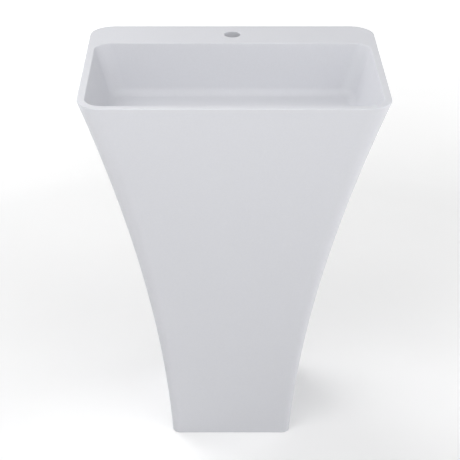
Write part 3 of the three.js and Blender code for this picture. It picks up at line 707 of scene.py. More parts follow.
def corner_arc(before, corner, after, radius):
    """A quarter circle in place of a square corner."""
    here = Vector(corner)
    arrive = (Vector(before) - here).normalized()
    leave = (Vector(after) - here).normalized()
    centre = here + (arrive + leave) * radius
    return [
        tuple(centre - radius * (leave * math.cos(a) + arrive * math.sin(a)))
        for a in span(0, math.pi / 2, CORNER_STEPS)
    ]


BUSH_SLEEVE_RADIUS = 7
BUSH_FLANGE_RADIUS = 12
BUSH_FLANGE_THICKNESS = 2.5
BUSH_BORE_RADIUS = 4.2
BUSH_GROOVE_DEPTH = 0.5


def back_panel():
    made = plate("back_panel_look", panel_outline(0, 0, PANEL.high.z), PANEL.low.y, PANEL.high.y)
    tools = [plate("window", service_window(), PANEL.low.y - PAST, PANEL.high.y + PAST)]
    for label, _ in SIDES:
        bush = Place(f"wall_bush_{label}")
        hole = rod_profile(BUSH_SLEEVE_RADIUS + CLEAR, PANEL.low.y - PAST, PANEL.high.y + PAST)
        tools.append(moved(towards_wall(turned("hole", hole)), bush.middle.x, 0, bush.middle.z))
    return soften(cut(made, *tools), PANEL_EDGE, 3)


def wall_bush(label):
    """A nylon bush with a grooved flange and a bore for the wall bolt."""
    bush = Place(f"wall_bush_{label}")
    flange = bush.low.y + BUSH_FLANGE_THICKNESS
    groove = bush.low.y + BUSH_GROOVE_DEPTH
    profile = [
        (BUSH_BORE_RADIUS, bush.low.y, 0.7),
        (BUSH_FLANGE_RADIUS - 3, bush.low.y, 0.2),
        (BUSH_FLANGE_RADIUS - 3.5, groove, 0.2),
        (BUSH_FLANGE_RADIUS - 2, groove, 0.2),
        (BUSH_FLANGE_RADIUS - 1.5, bush.low.y, 0.2),
        (BUSH_FLANGE_RADIUS, bush.low.y, 0.4),
        (BUSH_FLANGE_RADIUS, flange, 0.4),
        (BUSH_SLEEVE_RADIUS, flange, 0.3),
        (BUSH_SLEEVE_RADIUS, bush.high.y, 0.5),
        (BUSH_BORE_RADIUS, bush.high.y, 0.7),
    ]
    made = turned(f"wall_bush_{label}_look", rounded(profile, 0.3))
    return moved(towards_wall(made), bush.middle.x, 0, bush.middle.z)


# ---- Click waste ----

PIPE_THREAD_PITCH = 2.309  # G 1 1/4
PIPE_THREAD_DEPTH = 0.9
WASTE_THREAD_RADIUS = 20.9
WASTE_WALL = 2.7
WASTE_MOUTH_FLARE = 1.8
FLANGE_THICKNESS = 2.2
CROSSBAR_DEPTH = 31
CROSSBAR_HEIGHT = 6
CROSSBAR_WIDTH = 3
CROSSBAR_ARMS = 3
BOSS_RADIUS = 7
BOSS_HEIGHT = 10
SLEEVE_STUB_RADIUS = 3
STEM_RADIUS = 2.2

FLANGE_Z = DRAIN.high.z - FLANGE_THICKNESS


def on_drain(made):
    return moved(made, DRAIN.middle.x, DRAIN.middle.y)


def bar(name, inner, outer, width, bottom, top, turn):
    """An upright flat bar that reaches outwards, its first one along +Y."""
    outline = [(-width / 2, bottom), (width / 2, bottom), (width / 2, top), (-width / 2, top)]
    made = plate(name, rounded(outline, 0.8), inner, outer)
    made.data.transform(Matrix.Rotation(turn, 4, "Z"))
    return made


def waste_body():
    """The threaded tail with its flange, and a crossbar that holds the click sleeve."""
    bore = WASTE_THREAD_RADIUS - WASTE_WALL
    rows = thread_rows(DRAIN.low.z + 1, FLANGE_Z - 3, PIPE_THREAD_PITCH)
    profile = [
        (bore, DRAIN.low.z, 0.5),
        (WASTE_THREAD_RADIUS, DRAIN.low.z, 0.5),
        *straight(WASTE_THREAD_RADIUS, rows),
        (WASTE_THREAD_RADIUS, FLANGE_Z, 0.4),
        (DRAIN.radius, FLANGE_Z, 0.5),
        (DRAIN.radius, FLANGE_Z + FLANGE_THICKNESS / 2, 0.8),
        (DRAIN.radius - FLANGE_THICKNESS, DRAIN.high.z, 0.8),
        (bore + WASTE_MOUTH_FLARE, DRAIN.high.z, 0.8),
        (bore, FLANGE_Z, 0.8),
    ]
    relief = thread(WASTE_THREAD_RADIUS, rows[0], rows[-1], PIPE_THREAD_PITCH, PIPE_THREAD_DEPTH)
    shell = turned("waste_body_look", rounded(profile, 0), FINE, relief)
    middle = FLANGE_Z - CROSSBAR_DEPTH
    low, high = middle - CROSSBAR_HEIGHT / 2, middle + CROSSBAR_HEIGHT / 2
    arms = [
        bar("arm", 0, bore + PAST, CROSSBAR_WIDTH, low, high, turn * 2 * math.pi / CROSSBAR_ARMS)
        for turn in range(CROSSBAR_ARMS)
    ]
    boss = rounded(rod_profile(BOSS_RADIUS, middle - BOSS_HEIGHT / 2, middle + BOSS_HEIGHT / 2), 0.6)
    join(shell, turned("boss", boss), *arms)
    hole = rod_profile(SLEEVE_STUB_RADIUS + CLEAR, middle - BOSS_HEIGHT, middle + BOSS_HEIGHT)
    return on_drain(cut(shell, turned("hole", hole)))


STOPPER_SEAL_BORE = 22
RING_GROOVE = 0.3


def soft_ring(node, inner, groove):
    """A flat ring with rounded edges and, if asked for, a shallow groove in each face."""
    place = Place(node)
    outer = place.radius
    middle = (inner + outer) / 2
    low, high = place.low.z, place.high.z
    profile = [(inner, low), (outer, low), (outer, high), (inner, high)]
    if groove:
        width = (outer - inner) / 5
        under = [(middle - width, low), (middle, low + groove), (middle + width, low)]
        over = [(middle + width, high), (middle, high - groove), (middle - width, high)]
        profile = [(inner, low), *under, (outer, low), (outer, high), *over, (inner, high)]
    made = turned(f"{node}_look", rounded(profile, min(0.45, (high - low) / 3)))
    return moved(made, place.middle.x, place.middle.y)


CAP = Place("stopper_cap")
CAP_CROWN = 3
CAP_EDGE = 2.5
CAP_BOSS_RADIUS = 6
CAP_BOSS_DEPTH = 7
STEM_IN_CAP = 6


def stopper_cap():
    """A low polished dome with a hollow boss for the stem."""
    edge_top = CAP.high.z - CAP_CROWN
    under = edge_top - CAP_EDGE
    socket = under - CAP_BOSS_DEPTH + STEM_IN_CAP
    dome = [(CAP.radius * s, edge_top + CAP_CROWN * (1 - s**4)) for s in reversed(span(0, 0.96, 36))]
    profile = [
        (0, socket),
        (STEM_RADIUS + CLEAR, socket, 0.2),
        (STEM_RADIUS + CLEAR, CAP.low.z, 0.3),
        (CAP_BOSS_RADIUS, CAP.low.z, 0.5),
        (CAP_BOSS_RADIUS, under, 1),
        (CAP.radius - 2, under, 0.4),
        (CAP.radius, under + 0.9, 0.8),
        (CAP.radius, edge_top, 0.8),
        *dome,
    ]
    return on_drain(turned("stopper_cap_look", rounded(profile, 0), 128))


STEM_PITCH = 0.8
STEM_THREAD_DEPTH = 0.35
STEM_THREAD_LENGTH = 5
COLLAR_HEIGHT = 2


def stopper_stem():
    """A brass rod with a collar below and a thread in the cap."""
    stem = Place("stopper_stem")
    rows = thread_rows(stem.high.z - STEM_THREAD_LENGTH, stem.high.z - 0.6, STEM_PITCH)
    collar_top = stem.low.z + COLLAR_HEIGHT
    profile = [
        (0, stem.low.z),
        (stem.radius, stem.low.z, 0.4),
        (stem.radius, collar_top, 0.4),
        (STEM_RADIUS, collar_top, 0.3),
        *straight(STEM_RADIUS, rows),
        (STEM_RADIUS - 0.5, stem.high.z),
        (0, stem.high.z),
    ]
    relief = thread(STEM_RADIUS, rows[0], rows[-1], STEM_PITCH, STEM_THREAD_DEPTH)
    return on_drain(turned("stopper_stem_look", rounded(profile, 0), FINE, relief))


SLEEVE_BORE = 4.5
SLEEVE_FLOOR = 2.7
SLEEVE_GROOVES = 4
SLEEVE_FIRST_GROOVE = 4  # above the shoulder
SLEEVE_GROOVE_PITCH = 3
GROOVE_WIDTH = 1.4
GROOVE_DEPTH = 0.5


def click_sleeve():
    """The brass sleeve, with turned grooves, that the stem clicks in."""
    sleeve = Place("click_sleeve")
    outer = sleeve.radius
    shoulder = sleeve.low.z + BOSS_HEIGHT + CLEAR
    floor = shoulder + SLEEVE_FLOOR
    top = sleeve.high.z
    grooves = []
    for number in range(SLEEVE_GROOVES):
        z = shoulder + SLEEVE_FIRST_GROOVE + number * SLEEVE_GROOVE_PITCH
        grooves += [
            (outer, z - GROOVE_WIDTH / 2, 0.2),
            (outer - GROOVE_DEPTH, z - GROOVE_WIDTH / 4, 0.2),
            (outer - GROOVE_DEPTH, z + GROOVE_WIDTH / 4, 0.2),
            (outer, z + GROOVE_WIDTH / 2, 0.2),
        ]
    profile = [
        (0, sleeve.low.z),
        (SLEEVE_STUB_RADIUS, sleeve.low.z, 0.4),
        (SLEEVE_STUB_RADIUS, shoulder, 0.3),
        (outer, shoulder, 0.5),
        *grooves,
        (outer, top, 0.6),
        (STEM_RADIUS + 0.4, top, 0.3),
        (STEM_RADIUS + 0.4, top - 1, 0.2),
        (SLEEVE_BORE, top - 1, 0.2),
        (SLEEVE_BORE, floor, 0.3),
        (0, floor),
    ]
    return on_drain(turned("click_sleeve_look", rounded(profile, 0)))


WIRE_RADIUS = 0.45
SPRING_TURNS = 5
STEPS_PER_TURN = 48
WIRE_SIDES = 16
TIP_RINGS = 3  # rings that round off each end of the wire
TIP_TURN = 0.04  # radians from ring to ring there
LEAST_TIP = 0.02


def click_spring():
    """A wound steel spring with round ends."""
    spring = Place("click_spring")
    radius = spring.radius - WIRE_RADIUS
    rise = spring.high.z - spring.low.z - 2 * WIRE_RADIUS
    up = Vector((0, 0, 1))
    rings = []
    steps = SPRING_TURNS * STEPS_PER_TURN
    for i in range(-TIP_RINGS, steps + TIP_RINGS + 1):
        share = min(max(i / steps, 0), 1)
        past_end = max(-i, i - steps, 0) / TIP_RINGS
        thickness = WIRE_RADIUS * math.sqrt(max(LEAST_TIP, 1 - past_end**2))
        angle = share * SPRING_TURNS * 2 * math.pi + (i - share * steps) * TIP_TURN
        out = Vector((math.cos(angle), math.sin(angle), 0))
        height = spring.low.z + WIRE_RADIUS + rise * share
        centre = Vector((radius * math.cos(angle), radius * math.sin(angle), height))
        rings.append(
            [
                tuple(centre + thickness * (out * math.cos(a) - up * math.sin(a)))
                for a in span(0, 2 * math.pi, WIRE_SIDES)[:-1]
            ]
        )
    return on_drain(loft("click_spring_look", rings))


# ---- Clamping parts under the bowl ----


def lower_gasket():
    """A tapered rubber gasket with moulded steps."""
    gasket = Place("lower_gasket")
    inner = WASTE_THREAD_RADIUS + CLEAR
    profile = [
        (inner, gasket.low.z),
        (gasket.radius - 4, gasket.low.z),
        (gasket.radius - 2.6, gasket.low.z + 2),
        (gasket.radius - 2.2, gasket.low.z + 3, 0.3),
        (gasket.radius - 1, gasket.low.z + 4, 0.3),
        (gasket.radius, gasket.high.z - 0.5),
        (gasket.radius, gasket.high.z),
        (inner, gasket.high.z),
    ]
    return on_drain(turned("lower_gasket_look", rounded(profile, 0.5)))


def threaded_bore(radius, bottom, top):
    """A cutting shape for a threaded hole."""
    rows = thread_rows(bottom - PAST, top + PAST, PIPE_THREAD_PITCH)
    profile = [(0, rows[0]), *straight(radius, rows), (0, rows[-1])]
    grooves = thread(radius, rows[0], rows[-1], PIPE_THREAD_PITCH, -NUT_THREAD_GROOVE)
    return turned("bore", profile, FINE, grooves)


def waste_locknut():
    nut = Place("waste_locknut")
    flats = nut.high.y - nut.low.y
    made = hexagon("waste_locknut_look", flats, nut.low.z, nut.high.z)
    bore = WASTE_THREAD_RADIUS + CLEAR
    tool = threaded_bore(bore, nut.low.z, nut.high.z)
    return on_drain(cut(made, tool))


# ---- Pipes and union nuts ----

PIPE_RADIUS = 16
PIPE_BORE = 14.8
SLIP = 0.4
TRAP_BORE = PIPE_RADIUS + SLIP
NECK_RADIUS = 20
NUT_WALL = 4.2
NUT_LIP = 3
NUT_RIBS = 12
RIB_WIDTH = 3.4
RIB_DEPTH = 1.2
NUT_HEIGHT = 24
NUT_THREAD_GROOVE = 0.8
THREAD_INSET = 1.5  # from each end of a nut's threaded wall
GRIP_ROWS = 30


def union_nut(name, thread_radius):
    """A ribbed plastic nut about +Z, with its lip at the bottom, at height 0."""
    inner = thread_radius + CLEAR
    outer = inner + NUT_WALL
    bore = PIPE_RADIUS + SLIP
    grip = span(2.2, NUT_HEIGHT - 1.4, GRIP_ROWS)
    inside = thread_rows(NUT_LIP + THREAD_INSET, NUT_HEIGHT - THREAD_INSET, PIPE_THREAD_PITCH)
    profile = [
        (bore, 0, 0.6),
        (outer - 1.4, 0, 0.8),
        (outer, 1.6, 0.8),
        *straight(outer, grip),
        (outer, NUT_HEIGHT, 0.6),
        (inner, NUT_HEIGHT, 0.5),
        *straight(inner, reversed(inside)),
        (inner, NUT_LIP, 0.4),
        (bore, NUT_LIP, 0.4),
    ]
    relief = together(
        ribs(outer, grip[0], grip[-1], NUT_RIBS, RIB_WIDTH, RIB_DEPTH),
        thread(inner, inside[0], inside[-1], PIPE_THREAD_PITCH, -NUT_THREAD_GROOVE),
    )
    return turned(name, rounded(profile, 0), FINER, relief)


def tail_nut():
    nut = Place("tail_nut")
    return on_drain(moved(union_nut("tail_nut_look", WASTE_THREAD_RADIUS), z=nut.low.z))


def neck_nut():
    nut = Place("neck_nut")
    return on_drain(moved(upside_down(union_nut("neck_nut_look", NECK_RADIUS)), z=nut.high.z))


def outlet_nut():
    nut = Place("outlet_nut")
    made = towards_wall(upside_down(union_nut("outlet_nut_look", NECK_RADIUS)))
    return moved(made, nut.middle.x, nut.high.y, nut.middle.z)


def cone_seal(name):
    """A cone seal about +Z with two moulded lips, its large end down, at height 0."""
    bore = PIPE_RADIUS + CLEAR
    large = NECK_RADIUS - CLEAR
    profile = [
        (bore, 0),
        (large, 0),
        (large - 0.5, 1.5, 0.2),
        (large - 0.9, 1.7, 0.2),
        (large - 1.1, 2.9, 0.2),
        (large - 1.5, 3.1, 0.2),
        (large - 1.8, 4.7),
        (bore, 4.7),
    ]
    return turned(name, rounded(profile, 0.4))


def neck_seal():
    return on_drain(moved(cone_seal("neck_seal_look"), z=Place("neck_seal").low.z))


def outlet_seal():
    seal = Place("outlet_seal")
    return moved(towards_wall(cone_seal("outlet_seal_look")), seal.middle.x, seal.low.y, seal.middle.z)


def tailpiece():
    """A pipe with a flange at the top and a bevelled lower end."""
    tail = Place("tailpiece")
    profile = [
        (PIPE_BORE, tail.low.z, 0.3),
        (PIPE_RADIUS - 0.7, tail.low.z, 0.3),
        (PIPE_RADIUS, tail.low.z + 1.6, 0.5),
        (PIPE_RADIUS, tail.high.z - 2, 0.8),
        (tail.radius, tail.high.z - 2, 0.5),
        (tail.radius, tail.high.z, 0.5),
        (PIPE_BORE, tail.high.z, 0.5),
    ]
    return on_drain(turned("tailpiece_look", rounded(profile, 0)))


def waste_arm():
    """The pipe to the wall, bevelled where it enters the trap."""
    profile = [
        (PIPE_BORE, ARM.low.y, 0.3),
        (PIPE_RADIUS - 0.7, ARM.low.y, 0.3),
        (PIPE_RADIUS, ARM.low.y + 1.6, 0.5),
        (PIPE_RADIUS, ARM.high.y, 0.3),
        (PIPE_BORE, ARM.high.y, 0.3),
    ]
    made = turned("waste_arm_look", rounded(profile, 0))
    return moved(towards_wall(made), ARM.middle.x, 0, ARM.middle.z)


DOME_HEIGHT = 2.6
DOME_START = 20
DOME_END = 32.6
DOME_REACH = 13


def wall_flange():
    """A thin domed cover with a collar that grips the pipe."""
    cover = Place("wall_flange")
    bore = PIPE_RADIUS + CLEAR
    back = cover.high.y
    dome = [
        (r, back - 1.2 - DOME_HEIGHT * (1 - ((r - DOME_START) / DOME_REACH) ** 2))
        for r in span(DOME_START, DOME_END, 14)
    ]
    profile = [
        (bore, cover.low.y, 0.3),
        (bore + 2, cover.low.y, 0.6),
        (bore + 2, back - 6, 1.5),
        *dome,
        (cover.radius, back - 0.9, 0.3),
        (cover.radius, back, 0.3),
        (bore, back, 0.3),
    ]
    made = turned("wall_flange_look", rounded(profile, 0), 128)
    return moved(towards_wall(made), cover.middle.x, 0, cover.middle.z)


# ---- Bottle trap ----

TRAP = Place("trap_body")
CUP = Place("trap_cup")
NECK_Z = TRAP.high.z
TRAP_RADIUS = 34
TRAP_WALL = 3
NECK_HEIGHT = 20
SHOULDER_HEIGHT = 8
DIP_TUBE_RADIUS = TRAP_BORE + 2
CUP_COLLAR_HEIGHT = 24
CUP_OVERLAP = 16
CUP_DEPTH = 58
CUP_BASE_INSET = 10
CUP_RIBS = 18
CUP_RIB_WIDTH = 4
CUP_THREAD_PITCH = 3
CUP_THREAD_DEPTH = 1
CUP_THREAD_GROOVE = 0.9  # depth of the thread inside the cup
CUP_COLLAR = 3.7  # how far the collar stands out from the thread


def trap_body():
    """The trap's chamber with its threaded neck, outlet branch and dip tube."""
    shoulder = NECK_Z - NECK_HEIGHT - SHOULDER_HEIGHT
    ceiling = shoulder - TRAP_WALL
    bottom = CUP.high.z - CUP_OVERLAP
    neck = thread_rows(NECK_Z - NECK_HEIGHT + 2, NECK_Z - 1, PIPE_THREAD_PITCH)
    cup_thread = thread_rows(bottom + 1, CUP.high.z, CUP_THREAD_PITCH)
    outside = [
        (0, bottom),
        (TRAP_RADIUS - 0.5, bottom, 0.3),
        *straight(TRAP_RADIUS, cup_thread),
        (TRAP_RADIUS, shoulder, 4),
        (NECK_RADIUS, NECK_Z - NECK_HEIGHT, 1),
        *straight(NECK_RADIUS, neck),
        (NECK_RADIUS - 0.4, NECK_Z, 0.3),
        (0, NECK_Z),
    ]
    relief = together(
        thread(NECK_RADIUS, neck[0], neck[-1], PIPE_THREAD_PITCH, PIPE_THREAD_DEPTH),
        thread(TRAP_RADIUS, cup_thread[0], cup_thread[-1], CUP_THREAD_PITCH, CUP_THREAD_DEPTH),
    )
    made = turned("trap_body_look", rounded(outside, 0), FINER, relief)
    reach = TRAP.high.y - DRAIN.middle.y
    end = thread_rows(reach - 18, reach - 1, PIPE_THREAD_PITCH)
    outlet = [
        (0, 0),
        (NECK_RADIUS, 0),
        *straight(NECK_RADIUS, end),
        (NECK_RADIUS - 0.4, reach, 0.3),
        (0, reach),
    ]
    outlet_thread = thread(NECK_RADIUS, end[0], end[-1], PIPE_THREAD_PITCH, PIPE_THREAD_DEPTH)
    branch = turned("branch", rounded(outlet, 0), FINE, outlet_thread)
    join(made, moved(towards_wall(branch), z=ARM.middle.z))
    cut(made, turned("chamber", rod_profile(TRAP_RADIUS - TRAP_WALL, bottom - PAST, ceiling)))
    join(made, turned("dip_tube", rounded(rod_profile(DIP_TUBE_RADIUS, TRAP.low.z, ceiling + PAST), 0.5)))
    bore = turned("bore", rod_profile(TRAP_BORE, TRAP.low.z - PAST, NECK_Z + PAST))
    way = towards_wall(turned("way", rod_profile(TRAP_BORE, DIP_TUBE_RADIUS + PAST, reach + PAST)))
    return on_drain(cut(made, bore, moved(way, z=ARM.middle.z)))


def trap_cup():
    """The bottle of the trap, with a ribbed collar that screws on to the chamber."""
    inner = TRAP_RADIUS + CLEAR
    collar = inner + CUP_COLLAR
    ledge = CUP.high.z - CUP_COLLAR_HEIGHT + TRAP_WALL
    bottom = ledge - CUP_DEPTH
    base = TRAP_RADIUS - CUP_BASE_INSET
    low = CUP.low.z
    grip = span(ledge + 1.5, CUP.high.z - 1.2, 26)
    inside = thread_rows(ledge + 2, CUP.high.z - THREAD_INSET, CUP_THREAD_PITCH)
    profile = [
        (0, low + 0.8),
        (base - 9, low + 0.8, 1),
        (base - 8, low, 0.5),
        (base, low, 3),
        (TRAP_RADIUS, bottom, 8),
        (TRAP_RADIUS, ledge - TRAP_WALL, 2),
        (collar, ledge, 1),
        *straight(collar, grip),
        (collar, CUP.high.z, 0.6),
        (inner, CUP.high.z, 0.5),
        *straight(inner, reversed(inside)),
        (inner, ledge, 0.4),
        (TRAP_RADIUS - TRAP_WALL, ledge, 0.5),
        (TRAP_RADIUS - TRAP_WALL, bottom, 8),
        (base - TRAP_WALL, low + TRAP_WALL, 2),
        (0, low + TRAP_WALL),
    ]
    relief = together(
        ribs(collar, grip[0], grip[-1], CUP_RIBS, CUP_RIB_WIDTH, RIB_DEPTH),
        thread(inner, inside[0], inside[-1], CUP_THREAD_PITCH, -CUP_THREAD_GROOVE),
    )
    return on_drain(turned("trap_cup_look", rounded(profile, 0, 8), FINER, relief))


# ---- Materials ----


class Surface:
    """A Principled material whose colour, roughness and relief come from procedural patterns."""

    def __init__(self, name, **constants):
        self.material = bpy.data.materials.new(name)
        self.material.use_nodes = True
        self.tree = self.material.node_tree
        self.shader = next(n for n in self.tree.nodes if n.type == "BSDF_PRINCIPLED")
        self.place = self.add("ShaderNodeTexCoord").outputs["Object"]
        self.height = None
        for socket, value in constants.items():
            self.shader.inputs[socket.replace("_", " ")].default_value = value

    def add(self, kind, **settings):
        node = self.tree.nodes.new(kind)
        for setting, value in settings.items():
            setattr(node, setting, value)
        return node

    def link(self, source, target):
        self.tree.links.new(source, target)

    def stretched(self, stretch):
        """Object coordinates, stretched: a small number draws a pattern out along that axis."""
        mapping = self.add("ShaderNodeMapping")
        mapping.inputs["Scale"].default_value = stretch
        self.link(self.place, mapping.inputs["Vector"])
        return mapping.outputs["Vector"]

    def noise(self, scale, detail=3, stretch=(1, 1, 1)):
        """Cloudy noise from 0 to 1. scale is features per metre."""
        node = self.add("ShaderNodeTexNoise")
        node.inputs["Scale"].default_value = scale
        node.inputs["Detail"].default_value = detail
        self.link(self.stretched(stretch), node.inputs["Vector"])
        return node.outputs[0]

    def cells(self, scale):
        """A different value from 0 to 1 in each irregular cell."""
        node = self.add("ShaderNodeTexVoronoi")
        node.inputs["Scale"].default_value = scale
        self.link(self.place, node.inputs["Vector"])
        split = self.add("ShaderNodeSeparateColor")
        self.link(node.outputs["Color"], split.inputs[0])
        return split.outputs[0]

    def mapped(self, value, low, high, start=0.3, end=0.7):
        """A pattern brought into a range."""
        node = self.add("ShaderNodeMapRange")
        self.link(value, node.inputs["Value"])
        for socket, number in zip(("From Min", "From Max", "To Min", "To Max"), (start, end, low, high)):
            node.inputs[socket].default_value = number
        return node.outputs["Result"]

    def colour(self, value, *stops):
        """Colours the surface by a pattern, from (share, colour) stops."""
        ramp = self.add("ShaderNodeValToRGB")
        while len(ramp.color_ramp.elements) < len(stops):
            ramp.color_ramp.elements.new(0.5)
        for element, (share, tint) in zip(ramp.color_ramp.elements, stops):
            element.position = share
            element.color = (*tint, 1)
        self.link(value, ramp.inputs["Fac"])
        self.link(ramp.outputs["Color"], self.shader.inputs["Base Color"])

    def roughness(self, value, low, high):
        self.link(self.mapped(value, low, high), self.shader.inputs["Roughness"])

    def relief(self, value, depth):
        """Adds a bump, whose depth is in millimetres, over any that is there already."""
        node = self.add("ShaderNodeBump")
        node.inputs["Distance"].default_value = depth * MM
        self.link(value, node.inputs["Height"])
        if self.height:
            self.link(self.height, node.inputs["Normal"])
        self.height = node.outputs["Normal"]
        self.link(self.height, self.shader.inputs["Normal"])


def shade(colour, factor):
    return tuple(min(1, channel * factor) for channel in colour)


def stone_resin():
    """Matte cast stone: nearly even, with a very fine grain and a hand-rubbed surface."""
    white = (0.612, 0.618, 0.650)
    made = Surface("stone_resin", Specular_IOR_Level=0.4)
    made.colour(made.noise(260, 8), (0.3, shade(white, 0.985)), (0.55, white), (0.75, shade(white, 1.012)))
    made.roughness(made.noise(14, 4), 0.46, 0.56)
    made.relief(made.noise(1400, 4), 0.006)
    made.relief(made.noise(9, 2), 0.08)
    return made.material


def chrome():
    """Polished plate with faint water marks."""
    bright = (0.79, 0.80, 0.815)
    made = Surface("chrome", Metallic=1)
    made.colour(made.noise(60, 5), (0.35, shade(bright, 0.94)), (0.65, bright))
    made.roughness(made.noise(180, 6), 0.09, 0.19)
    made.relief(made.noise(120, 3), 0.01)
    return made.material


def brass():
    """Machined brass with tool marks round the axis and a little tarnish."""
    gold = (0.63, 0.44, 0.19)
    made = Surface("brass", Metallic=1)
    made.colour(made.noise(220, 6), (0.3, shade(gold, 0.72)), (0.6, gold), (0.8, shade(gold, 1.1)))
    made.roughness(made.noise(500, 4, (0.3, 0.3, 4)), 0.2, 0.42)
    made.relief(made.noise(400, 3, (0.1, 0.1, 6)), 0.02)
    return made.material


def stainless_steel():
    """Plain steel with drawn lines."""
    grey = (0.54, 0.55, 0.56)
    made = Surface("stainless_steel", Metallic=1)
    made.colour(made.noise(700, 5, (1, 0.2, 2)), (0.3, shade(grey, 0.85)), (0.7, grey))
    made.roughness(made.noise(900, 4, (2, 0.2, 2)), 0.22, 0.4)
    made.relief(made.noise(1500, 3, (2, 0.1, 2)), 0.01)
    return made.material


def zinc_plate():
    """Plated steel whose crystals catch the light differently."""
    grey = (0.47, 0.49, 0.50)
    made = Surface("zinc_plate", Metallic=1)
    made.colour(made.cells(420), (0.0, shade(grey, 0.86)), (0.5, grey), (1.0, shade(grey, 1.14)))
    made.roughness(made.cells(420), 0.32, 0.5)
    made.relief(made.noise(900, 4), 0.02)
    return made.material


def rubber():
    """Moulded black rubber with a dusty bloom."""
    black = (0.022, 0.023, 0.025)
    made = Surface("rubber", Specular_IOR_Level=0.35)
    made.colour(made.noise(340, 7), (0.35, black), (0.75, shade(black, 1.9)))
    made.roughness(made.noise(150, 5), 0.65, 0.85)
    made.relief(made.noise(2200, 4), 0.03)
    return made.material


def clear_seal():
    """Milky soft plastic."""
    milky = (0.52, 0.545, 0.56)
    made = Surface("clear_seal", Transmission_Weight=0.25, IOR=1.42)
    made.colour(made.noise(300, 5), (0.35, shade(milky, 0.93)), (0.65, milky))
    made.roughness(made.noise(240, 4), 0.3, 0.5)
    made.relief(made.noise(1200, 3), 0.02)
    return made.material


def nylon():
    """Off-white nylon with a fine moulded grain."""
    cream = (0.67, 0.65, 0.59)
    made = Surface("nylon", Subsurface_Weight=0.05, Subsurface_Scale=0.002)
    made.colour(made.noise(200, 6), (0.3, shade(cream, 0.95)), (0.7, cream))
    made.roughness(made.noise(400, 5), 0.4, 0.58)
    made.relief(made.noise(1800, 4), 0.02)
    return made.material


def white_plastic():
    """Glossy moulded plastic with faint flow marks."""
    white = (0.66, 0.67, 0.67)
    made = Surface("white_plastic")
    made.colour(made.noise(25, 3, (1, 1, 0.4)), (0.3, shade(white, 0.98)), (0.7, white))
    made.roughness(made.noise(90, 5), 0.22, 0.34)
    made.relief(made.noise(900, 3), 0.006)
    return made.material


MATERIALS = {
    make.__name__: make()
    for make in (
        stone_resin,
        chrome,
        brass,
        stainless_steel,
        zinc_plate,
        rubber,
        clear_seal,
        nylon,
        white_plastic,
    )
}


# ---- Assembly ----


def stand_for(made, node):
    """Puts a finished piece in the place of its CAD node."""
    made.data.materials.clear()
    made.data.materials.append(MATERIALS[SLOT_OF[node]])
    smooth(made)
    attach(made, BODY_OF[node])
    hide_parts(node)


def build(*makers):
    """Makes pieces whose functions have the names of their nodes."""
    for make in makers:
        stand_for(make(), make.__name__)


# The bore and the grooves' depth of each flat ring.
SOFT_RINGS = {
    "flange_gasket": (DRAIN_HOLE_RADIUS, 0),
    "stopper_seal": (STOPPER_SEAL_BORE, RING_GROOVE),
    "slip_ring": (WASTE_THREAD_RADIUS + CLEAR, 0),
    "tail_washer": (PIPE_BORE, RING_GROOVE),
    "cup_seal": (TRAP_RADIUS - TRAP_WALL + CLEAR, RING_GROOVE),
}

build(sink_body, back_panel)
for label, side in SIDES:
    stand_for(wall_bush(label), f"wall_bush_{label}")
    stand_for(bracket(label, side), f"floor_bracket_{label}")
    for number in (1, 2):
        stand_for(bolt(label, side, number), f"bracket_bolt_{label}_{number}")
        stand_for(insert(label, side, number), f"bracket_insert_{label}_{number}")
for node, (bore, groove) in SOFT_RINGS.items():
    stand_for(soft_ring(node, bore, groove), node)
build(waste_body, stopper_cap, stopper_stem, click_sleeve, click_spring, lower_gasket, waste_locknut)
build(tailpiece, tail_nut, neck_nut, neck_seal, trap_body, trap_cup)
build(outlet_seal, outlet_nut, waste_arm, wall_flange)


# ---- Studio ----

FLOOR_REACH = 30000
FLOOR_GLOW = 0.064  # near the sink
FLOOR_FADE = (1.2, 3.6)  # metres from the sink over which the floor brightens to the room's level
HORIZON_LIGHT = 0.76
OVERHEAD_LIGHT = 0.06
HORIZON_SPREAD = 0.3  # sine of the angle above the horizon where the room has dimmed to a third
LIGHT_SIZE = 2500
LIGHT_DISTANCE = 3600
LIGHT_AIM = (0, 0, 500)
# Each soft box: degrees round from the front towards the right, degrees up, and watts.
LIGHTS = {
    "back_left": (-135, 50, 60),
    "right": (45, 45, 41),
    "front": (-20, 50, 37),
    "right_low": (95, 15, 37),
    "left": (-45, 45, 21),
    "back_left_low": (-150, 25, 19),
    "right_front": (60, 15, 9),
    "left_high": (-60, 65, 8),
}

# A small flagged lamp over the left rim, which brightens the bowl's right wall.
BEAM_PLACE = (-1100, -600, 1300)
BEAM_AIM = (270, 0, 790)
BEAM_SIZE = 400
BEAM_SPREAD = 30  # degrees
BEAM_WATTS = 0.09


def add_floor():
    """A pale floor that brightens into the room all round, away from the sink."""
    corners = ((-1, -1), (1, -1), (1, 1), (-1, 1))
    points = [(x * FLOOR_REACH, y * FLOOR_REACH, 0) for x, y in corners]
    floor = new_object("floor", points, [(0, 1, 2, 3)])
    pale = Surface("pale_floor", Emission_Color=(1, 1, 1, 1))
    pale.colour(pale.noise(3, 3), (0.3, (0.88, 0.88, 0.88)), (0.7, (0.9, 0.9, 0.9)))
    pale.roughness(pale.noise(6, 3), 0.8, 0.9)
    distance = pale.add("ShaderNodeVectorMath", operation="LENGTH")
    pale.link(pale.place, distance.inputs[0])
    glow = pale.mapped(distance.outputs["Value"], FLOOR_GLOW, HORIZON_LIGHT, *FLOOR_FADE)
    pale.link(glow, pale.shader.inputs["Emission Strength"])
    floor.data.materials.append(pale.material)


